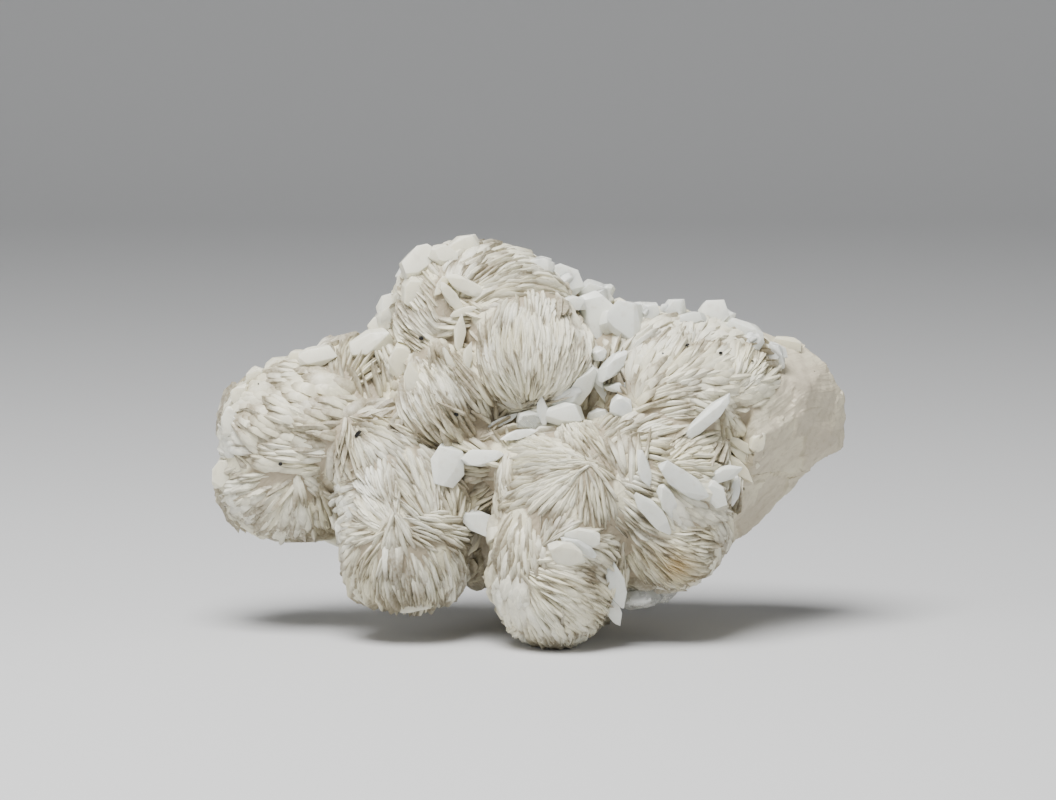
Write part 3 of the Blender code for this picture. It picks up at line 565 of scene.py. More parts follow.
# Crystals on the sides and the back, whose places hold how far back they are.
HIDDEN_BLOCKS = (
    Crystal((-14.0, 72.0, 36.0), (9.0, 6.0, 5.0), Habit.BLOCK, 20.0, 30.0, 10.0, 0.6),
    Crystal((6.0, 66.0, 41.0), (8.0, 6.0, 5.0), Habit.BLOCK, -20.0, 10.0, 20.0, 0.6),
    Crystal((34.0, 60.0, 41.0), (10.0, 6.4, 5.0), Habit.BLOCK, -20.0, 20.0, 10.0, 0.6),
    Crystal((-38.0, 53.0, 34.0), (9.0, 6.0, 5.0), Habit.BLOCK, 10.0, 10.0, 10.0, 0.6),
    Crystal((-54.0, 40.0, 35.0), (9.0, 6.4, 5.0), Habit.BLOCK, 70.0, 10.0, 0.0, 0.6),
    Crystal((-36.0, 24.0, 32.0), (9.0, 6.0, 5.0), Habit.BLOCK, 10.0, 20.0, 0.0, 0.6),
    Crystal((34.0, 24.0, 34.0), (9.0, 6.0, 5.0), Habit.BLOCK, 30.0, 10.0, 0.0, 0.6),
    Crystal((14.0, 70.6, 30.0), (9.0, 6.0, 6.0), Habit.BLOCK, -30.0, 10.0, 10.0, 0.7),
    Crystal((24.0, 66.4, 33.0), (8.0, 6.0, 6.0), Habit.BLOCK, 10.0, 30.0, 20.0, 0.7),
    Crystal((-22.0, 75.0, 32.0), (8.0, 6.0, 6.0), Habit.BLOCK, 40.0, 30.0, 10.0, 0.7),
    Crystal((-58.0, 30.0, 32.0), (8.0, 5.0, 6.0), Habit.BLOCK, 20.0, 30.0, 10.0, 0.7),
)

CLEAR_CRYSTALS = (
    Crystal((23.2, 9.2, 0.6), (9.6, 4.4, 5.0), Habit.LATH, 10.0, 10.0, 0.0, 0.3),
    Crystal((27.6, 11.0, 1.0), (6.0, 3.6, 4.0), Habit.BLOCK, 24.0, 20.0, 0.0, 0.3),
    Crystal((1.0, 45.4, 0.0), (5.6, 3.0, 3.0), Habit.BLOCK, -6.0, 0.0, 0.0, 0.4),
)

DARK_GRAINS = (
    Crystal((-33.5, 42.8, -1.3), (1.8, 1.0, 0.9), Habit.BLOCK, 50.0, 0.0, 0.0, 0.15),
    Crystal((-20.9, 62.0, -0.2), (0.9, 0.7, 0.7), Habit.BLOCK, 0.0, 0.0, 0.0, 0.1),
    Crystal((-13.7, 46.8, -0.3), (0.9, 1.0, 0.8), Habit.BLOCK, 60.0, 0.0, 0.0, 0.1),
    Crystal((-7.7, 80.0, 0.0), (0.8, 0.6, 0.6), Habit.BLOCK, 0.0, 0.0, 0.0, 0.1),
    Crystal((-53.7, 52.8, -0.2), (0.7, 0.6, 0.6), Habit.BLOCK, 0.0, 0.0, 0.0, 0.1),
    Crystal((-53.3, 46.0, -0.2), (0.7, 0.6, 0.6), Habit.BLOCK, 0.0, 0.0, 0.0, 0.1),
    Crystal((-52.7, 46.1, -0.2), (0.6, 0.5, 0.5), Habit.BLOCK, 0.0, 0.0, 0.0, 0.1),
    Crystal((-46.3, 50.6, -0.2), (0.6, 0.5, 0.5), Habit.BLOCK, 0.0, 0.0, 0.0, 0.1),
    Crystal((-49.1, 36.8, -0.2), (0.6, 0.5, 0.5), Habit.BLOCK, 0.0, 0.0, 0.0, 0.1),
    Crystal((32.3, 60.6, -0.2), (0.9, 0.5, 0.5), Habit.BLOCK, 30.0, 0.0, 0.0, 0.1),
    Crystal((38.9, 59.0, -0.2), (0.9, 0.6, 0.6), Habit.BLOCK, 0.0, 0.0, 0.0, 0.1),
    Crystal((45.4, 57.4, -0.2), (0.7, 0.5, 0.5), Habit.BLOCK, 0.0, 0.0, 0.0, 0.1),
)


def hull_planes(corners: tuple[Place, ...]) -> np.ndarray:
    """Find the faces of a block of broken barite.

    Args:
        corners: The block's corners, as seen.

    Returns:
        One row for each face: its outward unit normal and how far out it lies.
    """
    bm = bmesh.new()
    for corner in corners:
        bm.verts.new(spot(*corner))
    bmesh.ops.convex_hull(bm, input=bm.verts)
    middle = np.mean([spot(*corner) for corner in corners], axis=0)
    rows = []
    for face in bm.faces:
        normal = np.array(face.normal)
        reach = normal.dot(np.array(face.verts[0].co))
        if reach < normal.dot(middle):
            normal, reach = -normal, -reach
        rows.append((*normal, reach))
    bm.free()
    return np.array(rows)


def depth_in_block(points: np.ndarray, planes: np.ndarray) -> np.ndarray:
    """Return how deep points lie inside a block, negative outside, in millimetres."""
    return -(points @ planes[:, :3].T - planes[:, 3]).max(axis=-1)


class Mass:
    """The grown mass as a distance field: lobes that flow into one another, and the broken blocks."""

    def __init__(self, blend: float = 13.0, block_blend: float = 5.0, overhang: float = 0.7) -> None:
        """Prepare the field.

        Args:
            blend: How widely neighbouring lobes flow together, in millimetres.
            block_blend: How widely lobes flow into the broken blocks, in millimetres.
            overhang: How far outside the mass the middle of a crystal may lie, in millimetres.
        """
        self.blend = blend
        self.block_blend = block_blend
        self.overhang = overhang
        self.planes = [hull_planes(corners) for corners in BROKEN_BLOCKS.values()]
        # The hollows are placed on the mass without hollows, so the first one is far away and flat.
        self.hollows = np.full((1, 3), 1e3)
        self.widths = np.ones(1)
        self.depths = np.zeros(1)
        middles = [self.seen_place(*hollow.place) for hollow in HOLLOWS]
        self.hollows = np.array(middles)
        self.widths = np.array([hollow.width for hollow in HOLLOWS])
        self.depths = np.array([hollow.depth for hollow in HOLLOWS])

    def lobe_distances(self, points: np.ndarray) -> np.ndarray:
        """Return how far points lie outside each lobe, one column for each."""
        return np.stack([lobe.distance(points) for lobe in LOBES.values()], axis=1)

    def block_distance(self, points: np.ndarray) -> np.ndarray:
        """Return how far points lie outside the nearest broken block."""
        return np.stack([-depth_in_block(points, planes) for planes in self.planes], axis=1).min(axis=1)

    def distance(self, points: np.ndarray) -> np.ndarray:
        """Measure how far points lie outside the whole mass, negative inside.

        Args:
            points: The points.

        Returns:
            About how many millimetres each point is away from the surface.
        """
        nearest = np.partition(self.lobe_distances(points), 1, axis=1)
        lobes = joined(nearest[:, 0], nearest[:, 1], self.blend)
        away = np.linalg.norm(points[:, None, :] - self.hollows, axis=2) / self.widths
        hollowed = (self.depths * np.exp(-away * away)).sum(axis=1)
        return joined(lobes, self.block_distance(points), self.block_blend) + hollowed

    def seen_place(self, across: float, up: float, sink: float = 0.0) -> np.ndarray:
        """Find the point of the surface that the front shows at a place of the view.

        Args:
            across: Millimetres right of the middle of the view.
            up: Millimetres up the view.
            sink: How far behind the surface the wanted point lies.

        Returns:
            The point. Where the line of sight misses the mass, it is just outside the nearest place.
        """
        backs = np.arange(*SIGHT_DEPTHS)
        line = np.array([spot(across, up, back) for back in backs])
        away = self.distance(line)
        inside = np.flatnonzero(away < 0.0)
        if len(inside):
            return spot(across, up, backs[inside[0]] + sink)
        nearest = line[away.argmin()][None]
        gap = max(float(away.min()) - self.overhang, 0.0)
        return (nearest - gap * self.outward(nearest))[0]

    def outward(self, points: np.ndarray, step: float = 0.3) -> np.ndarray:
        """Return the unit directions that lead straight out of the mass."""
        rise = [self.distance(points + shift) - self.distance(points - shift) for shift in np.eye(3) * step]
        return unit(np.stack(rise, axis=1))

    def settle(
        self, points: np.ndarray, directions: np.ndarray, level: float, stride: float = 2.0
    ) -> np.ndarray:
        """Move points along directions until they lie at a level of the field.

        Args:
            points: The points.
            directions: Unit directions that lead out of the mass.
            level: The wanted distance from the surface in millimetres.
            stride: The longest single step in millimetres.

        Returns:
            The moved points.
        """
        for _ in range(5):
            step = np.clip(self.distance(points) - level, -stride, stride)
            points = points - directions * step[:, None]
        return points


def joined(first: np.ndarray, second: np.ndarray, width: float) -> np.ndarray:
    """Return the smaller of two distances, with a fillet where they are nearly the same."""
    near = np.maximum(width - np.abs(first - second), 0.0) / width
    return np.minimum(first, second) - near * near * width * 0.25


@dataclass
class Growth:
    """Plans where blades stand: every sheaf becomes rings of seats around its root.

    Ring start and step are shares of a blade's length. Bulge and crevice are how far, in millimetres,
    the middle of a sheaf stands up and its border sinks. Spill is how many reaches beyond its middle a
    sheaf may go, and far side how much of the way around its lobe. Seats lower than lowest are left out.
    """

    ring_step: float = 0.21
    seed: int = 5
    bulge: float = 0.5
    crevice: float = 0.7
    hidden_sheaves: int = 18
    hidden_reach: float = 6.5
    spill: float = 2.4
    far_side: float = 0.9
    hidden_spacing: float = 0.9
    front_limit: float = -0.3
    ring_start: float = 0.2
    ring_jitter: float = 0.2
    step_jitter: float = 0.16
    root_sink: float = 0.5
    root_reach: float = 2.8
    level: float = -0.45
    wander_width: float = 5.0
    block_margin: float = 0.8
    block_fillet: float = 1.2
    sunk_limit: float = 6.0
    lowest: float = 0.6
    mass: Mass = field(default_factory=Mass)
    bundles: list[Bundle] = field(default_factory=list)

    def front_bundles(self) -> list[Bundle]:
        """Place the sheaves that the front shows on their lobes.

        Returns:
            One bundle for each row of the table.
        """
        placed = []
        for sheaf in FRONT_SHEAVES:
            lobe = LOBES[sheaf.lobe]
            root = lobe.seen_direction(*sheaf.root)
            middle = lobe.point(lobe.seen_direction(*sheaf.middle))
            look = (sheaf.grade, sheaf.curl, sheaf.pale, sheaf.spiky)
            placed.append(Bundle(sheaf.lobe, root, middle, sheaf.reach, *look))
        return placed

    def hidden_bundles(self, shown: list[Bundle], chooser: np.random.Generator) -> list[Bundle]:
        """Cover the tops, sides and backs of the lobes with sheaves of the same kind.

        Args:
            shown: The sheaves of the front, which the new ones keep away from.
            chooser: The source of chance.

        Returns:
            The new sheaves.
        """
        grades = (Grade.FINE, Grade.MEDIUM, Grade.MEDIUM, Grade.SCALLOP, Grade.FUSED)
        placed = []
        for name, lobe in LOBES.items():
            neighbours = [bundle for bundle in shown if bundle.lobe == name]
            for index in range(self.hidden_sheaves):
                level = 1.0 - 2.0 * (index + 0.5) / self.hidden_sheaves
                ring = math.sqrt(1.0 - level * level)
                angle = SUNFLOWER_TURN * index + chooser.uniform(-0.3, 0.3)
                direction = np.array((ring * math.cos(angle), level, ring * math.sin(angle)))
                middle = lobe.point(direction)
                if direction[1] < self.front_limit and neighbours:
                    continue
                gaps = [np.linalg.norm(other.middle - middle) / other.reach for other in neighbours]
                if min(gaps, default=self.hidden_spacing) < self.hidden_spacing:
                    continue
                sideways = unit(np.cross(direction, chooser.normal(size=3)))
                root = unit(direction + sideways * chooser.uniform(0.7, 1.1))
                grade = grades[chooser.integers(len(grades))]
                curl, pale = chooser.uniform(-0.03, 0.03), chooser.uniform(0.2, 0.7)
                spiky = chooser.uniform(0.0, 0.6)
                placed.append(Bundle(name, root, middle, self.hidden_reach, grade, curl, pale, spiky))
        return placed

    def rings(self, bundle: Bundle, number: int, chooser: np.random.Generator) -> Seats:
        """Lay out a bundle's blades in rings around its root.

        Args:
            bundle: The sheaf.
            number: Its place in the list of bundles.
            chooser: The source of chance.

        Returns:
            The seats, before those that another sheaf or lobe takes are left out.
        """
        lobe = LOBES[bundle.lobe]
        half = lobe.half()
        mean_half = float(half.mean())
        size = BLADE_SIZES[bundle.grade]
        side = unit(np.cross(bundle.root, ASKEW))
        other = np.cross(bundle.root, side)
        away = np.linalg.norm(bundle.middle - lobe.point(bundle.root))
        last = min(away + self.spill * bundle.reach, math.pi * mean_half * self.far_side)
        polar, around = [], []
        jitter = self.ring_jitter * size.length / mean_half
        for distance in np.arange(self.ring_start * size.length, last, self.ring_step * size.length):
            angle = distance / mean_half
            count = max(3, round(math.tau * mean_half * math.sin(angle) / size.pitch))
            steps = np.arange(count) + chooser.uniform()
            steps += chooser.normal(scale=self.step_jitter, size=count)
            around.append(math.tau * (steps / count))
            polar.append(angle + chooser.normal(scale=jitter, size=count))
        polar = np.clip(np.concatenate(polar), 0.05, 3.0)[:, None]
        around = np.concatenate(around)[:, None]
        outwards = np.cos(around) * side + np.sin(around) * other
        direction = np.cos(polar) * bundle.root + np.sin(polar) * outwards
        onward = -np.sin(polar) * bundle.root + np.cos(polar) * outwards
        outward = unit(direction / half)
        along = unit(onward * half)
        travelled = polar * mean_half
        turn = (travelled - away) * bundle.curl
        along = unit(np.cos(turn) * along + np.sin(turn) * np.cross(outward, along))
        point = lobe.centre() + direction * half
        outer = smooth(travelled[:, 0], away - 0.2 * bundle.reach, away + bundle.reach)
        free = bundle.spiky * outer
        free -= self.root_sink * (1.0 - smooth(travelled[:, 0], 1.0, self.root_reach))
        return Seats(point, along, outward, np.zeros(len(point)), free, np.full(len(point), number))

    def own_seats(self, laid: Seats) -> Seats:
        """Leave out of one lobe's seats those that a nearer sheaf of the same lobe takes.

        Args:
            laid: The seats of all sheaves of one lobe.

        Returns:
            The seats that stay, with their distance from the sheaf's border.
        """
        numbers = np.unique(laid.bundle)
        middles = np.array([self.bundles[number].middle for number in numbers])
        reaches = np.array([self.bundles[number].reach for number in numbers])
        wander = Ripple(self.wander_width, 3)
        stray = np.stack([wander.at(laid.point + shift) for shift in (0.0, 40.0, 80.0)], axis=-1)
        far = np.linalg.norm((laid.point + stray)[:, None, :] - middles, axis=2) / reaches
        order = np.sort(far, axis=1)
        taker = numbers[far.argmin(axis=1)]
        edge = (order[:, 1] - order[:, 0]) * reaches.mean()
        laid = Seats(laid.point, laid.along, laid.outward, edge, laid.free, laid.bundle)
        return laid.only(taker == laid.bundle)

    def seats(self) -> Seats:
        """Plan every blade of the cluster.

        Returns:
            The seats that no other sheaf, lobe or block covers, on the surface of the mass.
        """
        chooser = np.random.default_rng(self.seed)
        shown = self.front_bundles()
        self.bundles = shown + self.hidden_bundles(shown, chooser)
        parts = []
        for place, name in enumerate(LOBES):
            numbers = [number for number, bundle in enumerate(self.bundles) if bundle.lobe == name]
            laid = merged([self.rings(self.bundles[number], number, chooser) for number in numbers])
            laid = self.own_seats(laid)
            laid.point = self.mass.settle(laid.point, laid.outward, self.level)
            distances = self.mass.lobe_distances(laid.point)
            own = distances[:, place]
            others = np.delete(distances, place, axis=1).min(axis=1)
            laid.edge = np.minimum(laid.edge, others - own)
            broken = self.mass.block_distance(laid.point)
            on_lobe = (own < broken + self.block_margin) | (broken > self.block_fillet)
            laid = laid.only((own < others) & (own < self.sunk_limit) & on_lobe)
            parts.append(laid)
        laid = merged(parts)
        laid = laid.only(laid.point[:, 2] > self.lowest)
        laid.outward = self.mass.outward(laid.point)
        return laid


@dataclass
class BladeMesh:
    """Turns seats into closed thin blades with a sharp rim.

    Patchy is how much the growing together of neighbours varies from place to place. Fused blades are
    thicker by the share thicker, and calmer by the share calmer.
    """

    rim_corners: int = 7
    foot_corners: int = 2
    cheek: float = 0.96
    shoulder: float = 0.88
    taper: float = 0.4
    height_share: float = 0.42
    hug: float = 0.03
    patchy: float = 0.45
    thicker: float = 1.2
    calmer: float = 0.75
    rim_reach: float = 5.0
    crevice_reach: float = 1.1
    lean: float = 0.26
    stand_up: float = 0.35
    seed: int = 21

    def shape(self, count: int, chooser: np.random.Generator) -> np.ndarray:
        """Make the corners of blades of size one.

        Args:
            count: How many blades.
            chooser: The source of chance.

        Returns:
            An array of blades, corners and the shares along, across and up.
        """
        rim_angle = np.linspace(0.0, math.pi, self.rim_corners)
        foot_angle = math.pi * (1.0 + np.arange(1, self.foot_corners + 1) / (self.foot_corners + 1))
        angle = np.concatenate((rim_angle, foot_angle))
        angle = angle + chooser.normal(scale=0.08, size=(count, len(angle)))
        power = chooser.uniform(0.85, 1.5, (count, 1))
        uneven = 1.0 + chooser.normal(scale=0.07, size=angle.shape)
        along = np.sign(np.cos(angle)) * np.abs(np.cos(angle)) ** power * uneven
        up = np.sign(np.sin(angle)) * np.abs(np.sin(angle)) ** power * uneven
        full = self.cheek * (1.0 - self.taper * np.clip(np.abs(along), 0.0, 1.0) ** 2.0)
        rim = np.stack((along, chooser.normal(scale=0.1, size=along.shape), up), axis=-1)
        left = np.stack((along * self.shoulder, full, up * self.shoulder), axis=-1)
        right = np.stack((along * self.shoulder, -full, up * self.shoulder), axis=-1)
        middle = np.zeros((count, 2, 3))
        middle[:, 0, 1] = 1.0
        middle[:, 1, 1] = -1.0
        return np.concatenate((rim, left, right, middle), axis=1)

    def triangles(self) -> np.ndarray:
        """Join one blade's corners to triangles that face outward.

        Returns:
            One row of three corner numbers for each triangle.
        """
        count = self.rim_corners + self.foot_corners
        left, right, left_middle, right_middle = count, 2 * count, 3 * count, 3 * count + 1
        rows = []
        for here in range(count):
            after = (here + 1) % count
            rows += [(here, after, left + after), (here, left + after, left + here)]
            rows += [(after, here, right + here), (after, right + here, right + after)]
            rows += [(left + here, left + after, left_middle), (right + after, right + here, right_middle)]
        return np.array(rows)

    def axes(self, seats: Seats, loose: np.ndarray, chooser: np.random.Generator) -> np.ndarray:
        """Turn every blade its own way.

        Args:
            seats: Where the blades stand.
            loose: How free each blade is of its neighbours, from 0 to 1.
            chooser: The source of chance.

        Returns:
            For each blade the directions of its length, its thickness and its height, as three rows.
        """
        count = len(seats.point)
        clump, swell, tip = CLUMP.at, SWELL.at, TIP.at
        across = np.cross(seats.outward, seats.along)
        lean = self.lean * swell(seats.point) + 0.08 * tip(seats.point)
        lean += loose * chooser.normal(scale=0.06, size=count)
        turn = 0.1 * clump(seats.point + 31.0) + loose * chooser.normal(scale=0.07, size=count)
        tip_up = 0.1 + 0.06 * swell(seats.point + 57.0) + chooser.normal(scale=0.05, size=count)
        tip_up += self.stand_up * np.maximum(seats.free, 0.0)
        x_axis = unit(seats.along + turn[:, None] * across + tip_up[:, None] * seats.outward)
        z_axis = unit(seats.outward + lean[:, None] * across)
        y_axis = unit(np.cross(z_axis, x_axis))
        z_axis = np.cross(x_axis, y_axis)
        return np.stack((x_axis, y_axis, z_axis), axis=1)

    def build(self, seats: Seats, growth: Growth) -> "Surface":
        """Make all blades.

        Args:
            seats: Where they stand.
            growth: The plan, for its sheaves, bulge and crevices.

        Returns:
            The surface of all blades, one row of corners for each blade.
        """
        chooser = np.random.default_rng(self.seed)
        count = len(seats.point)
        owner = seats.bundle
        sizes = [BLADE_SIZES[bundle.grade] for bundle in growth.bundles]
        length = np.array([size.length for size in sizes])[owner] * chooser.uniform(0.72, 1.35, count)
        thick = np.array([size.thickness for size in sizes])[owner] * chooser.uniform(0.75, 1.3, count)
        proud = np.array([size.proud for size in sizes])[owner]
        uneven = np.array([size.uneven for size in sizes])[owner]
        height = length * self.height_share
        fused = np.array([size.fused for size in sizes])[owner] + self.patchy * PATCH.at(seats.point)
        fused = np.clip(fused - 0.5 * np.maximum(seats.free, 0.0), 0.0, 1.0)
        thick *= 1.0 + self.thicker * fused
        loose = 1.0 - self.calmer * fused
        wild = 0.6 * CLUMP.at(seats.point) + chooser.normal(scale=0.42, size=count)
        lift = proud + uneven * loose * wild
        lift += growth.bulge * (smooth(seats.edge, 0.0, self.rim_reach) - 0.6) + 0.6 * seats.free
        lift -= growth.crevice * (1.0 - smooth(seats.edge, 0.0, self.crevice_reach))
        axes = self.axes(seats, loose, chooser)
        shape = self.shape(count, chooser)
        bend = chooser.normal(scale=0.2, size=(count, 1)) + 0.3 * SWELL.at(seats.point + 83.0)[:, None]
        size = np.stack((0.5 * length, 0.5 * thick, 0.5 * height), axis=-1)[:, None, :]
        local = shape * size
        local[..., 1] += bend * 0.5 * (shape[..., 0] ** 2 - 0.4)
        local[..., 2] -= self.hug * local[..., 0] ** 2
        rise = (lift - 0.5 * height)[:, None]
        place = seats.point[:, None, :] + seats.outward[:, None, :] * rise[..., None]
        corners = place + np.einsum("bvk,bkc->bvc", local, axes)
        corners[..., 2] = np.maximum(corners[..., 2], 0.0)
        pale = np.array([bundle.pale for bundle in growth.bundles])[owner]
        pale = pale + 0.18 * CLUMP.at(seats.point + 11.0)
        stains = [growth.mass.seen_place(*stain.place) for stain in STAINS]
        marks = {
            "stain": near_places(corners, stains, STAINS),
            # Painted shade around the hollows between sheaves.
            "hollow_shade": near_places(corners, growth.mass.hollows, HOLLOWS),
            "depth": (proud + uneven)[:, None] - (rise + local[..., 2]),
            "tone": spread(chooser.uniform(size=count), shape),
            "pale": spread(pale, shape),
            "run": local[..., 0] + spread(chooser.uniform(0.0, 500.0, count), shape),
            "rise": local[..., 2] + spread(chooser.uniform(0.0, 500.0, count), shape),
        }
        return Surface(corners, self.triangles(), marks)


def near_places(
    points: np.ndarray, middles: np.ndarray, places: tuple[Hollow, ...], widen: float = 1.25
) -> np.ndarray:
    """Find how near points are to any of several places.

    Args:
        points: The points.
        middles: The middles of the places.
        places: Their widths and depths. From a depth of 2 a place counts in full.
        widen: How much wider than the place its effect is.

    Returns:
        1 in the middle of a place and 0 far away.
    """
    total = np.zeros(points.shape[:-1])
    for middle, place in zip(middles, places):
        away = np.linalg.norm(points - middle, axis=-1) / (widen * place.width)
        total = np.maximum(total, np.exp(-away * away) * min(1.0, place.depth / 2.0))
    return total


def spread(values: np.ndarray, shape: np.ndarray) -> np.ndarray:
    """Return one value a blade repeated for each of its corners."""
    return np.repeat(values[:, None], shape.shape[1], axis=1)


@dataclass
class Surface:
    """A mesh held as arrays: corners in millimetres, triangles, and marks that the finish reads.

    A surface of many equal bodies has one row for each body in corners and marks, and the triangles
    of one body.
    """

    corners: np.ndarray
    triangles: np.ndarray
    marks: dict[str, np.ndarray]

    def flat(self, chosen: np.ndarray) -> "Surface":
        """Join the chosen ones of many equal bodies.

        Args:
            chosen: True for each body that is wanted.

        Returns:
            One plain surface.
        """
        count, size = int(chosen.sum()), self.corners.shape[1]
        starts = np.arange(count)[:, None, None] * size
        triangles = (self.triangles[None] + starts).reshape(-1, 3)
        marks = {name: values[chosen].ravel() for name, values in self.marks.items()}
        return Surface(self.corners[chosen].reshape(-1, 3), triangles, marks)

    def piece(self, name: str, sharp: float) -> bpy.types.Object:
        """Make the surface an object of the scene.

        Args:
            name: The piece's name.
            sharp: The angle in degrees from which an edge is sharp.

        Returns:
            The object.
        """
        mesh = bpy.data.meshes.new(name)
        mesh.vertices.add(len(self.corners))
        mesh.loops.add(self.triangles.size)
        mesh.polygons.add(len(self.triangles))
        mesh.vertices.foreach_set("co", (self.corners * MM).astype(np.float32).ravel())
        mesh.loops.foreach_set("vertex_index", self.triangles.astype(np.int32).ravel())
        mesh.polygons.foreach_set("loop_start", np.arange(0, self.triangles.size, 3, dtype=np.int32))
        mesh.update(calc_edges=True)
        mesh.set_sharp_from_angle(angle=math.radians(sharp))
        for mark, values in self.marks.items():
            layer = mesh.attributes.new(mark, "FLOAT", "POINT")
            layer.data.foreach_set("value", values.astype(np.float32).ravel())
        piece = bpy.data.objects.new(name, mesh)
        bpy.context.scene.collection.objects.link(piece)
        return piece


def stacked(parts: list[Surface]) -> Surface:
    """Join several surfaces.

    Args:
        parts: Plain surfaces with the same marks.

    Returns:
        One surface.
    """
    starts = np.cumsum([0] + [len(part.corners) for part in parts[:-1]])
    triangles = np.concatenate([part.triangles + start for part, start in zip(parts, starts)])
    marks = {name: np.concatenate([part.marks[name] for part in parts]) for name in parts[0].marks}
    return Surface(np.concatenate([part.corners for part in parts]), triangles, marks)


def place_piece(piece: bpy.types.Object, material: bpy.types.Material) -> None:
    """Give a piece its finish and tie it to the solid that it stands for.

    Args:
        piece: The piece.
        material: Its finish.
    """
    piece.data.materials.append(material)
    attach(piece, BODY)
    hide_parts(NODE)
    LOG.info("%s: %d faces", piece.name, len(piece.data.polygons))


def corner_normals(corners: np.ndarray, triangles: np.ndarray) -> np.ndarray:
    """Find which way a mesh faces at its corners.

    Args:
        corners: The mesh's corners.
        triangles: Its triangles.

    Returns:
        One unit direction for each corner.
    """
    first, second, third = (corners[triangles[:, side]] for side in range(3))
    flat = np.cross(second - first, third - first)
    total = np.zeros_like(corners)
    for side in range(3):
        np.add.at(total, triangles[:, side], flat)
    return unit(total)


def nearest_seed(points: np.ndarray, seeds: np.ndarray, batch: int = 4000) -> np.ndarray:
    """Find which seed is nearest to each point.

    Args:
        points: The points.
        seeds: The seeds.
        batch: How many points are looked at together, to save memory.

    Returns:
        The number of the nearest seed for each point.
    """
    owner = np.zeros(len(points), dtype=np.int64)
    for start in range(0, len(points), batch):
        part = points[start:start + batch]
        far = (seeds ** 2).sum(axis=1) - 2.0 * part @ seeds.T
        owner[start:start + batch] = far.argmin(axis=1)
    return owner


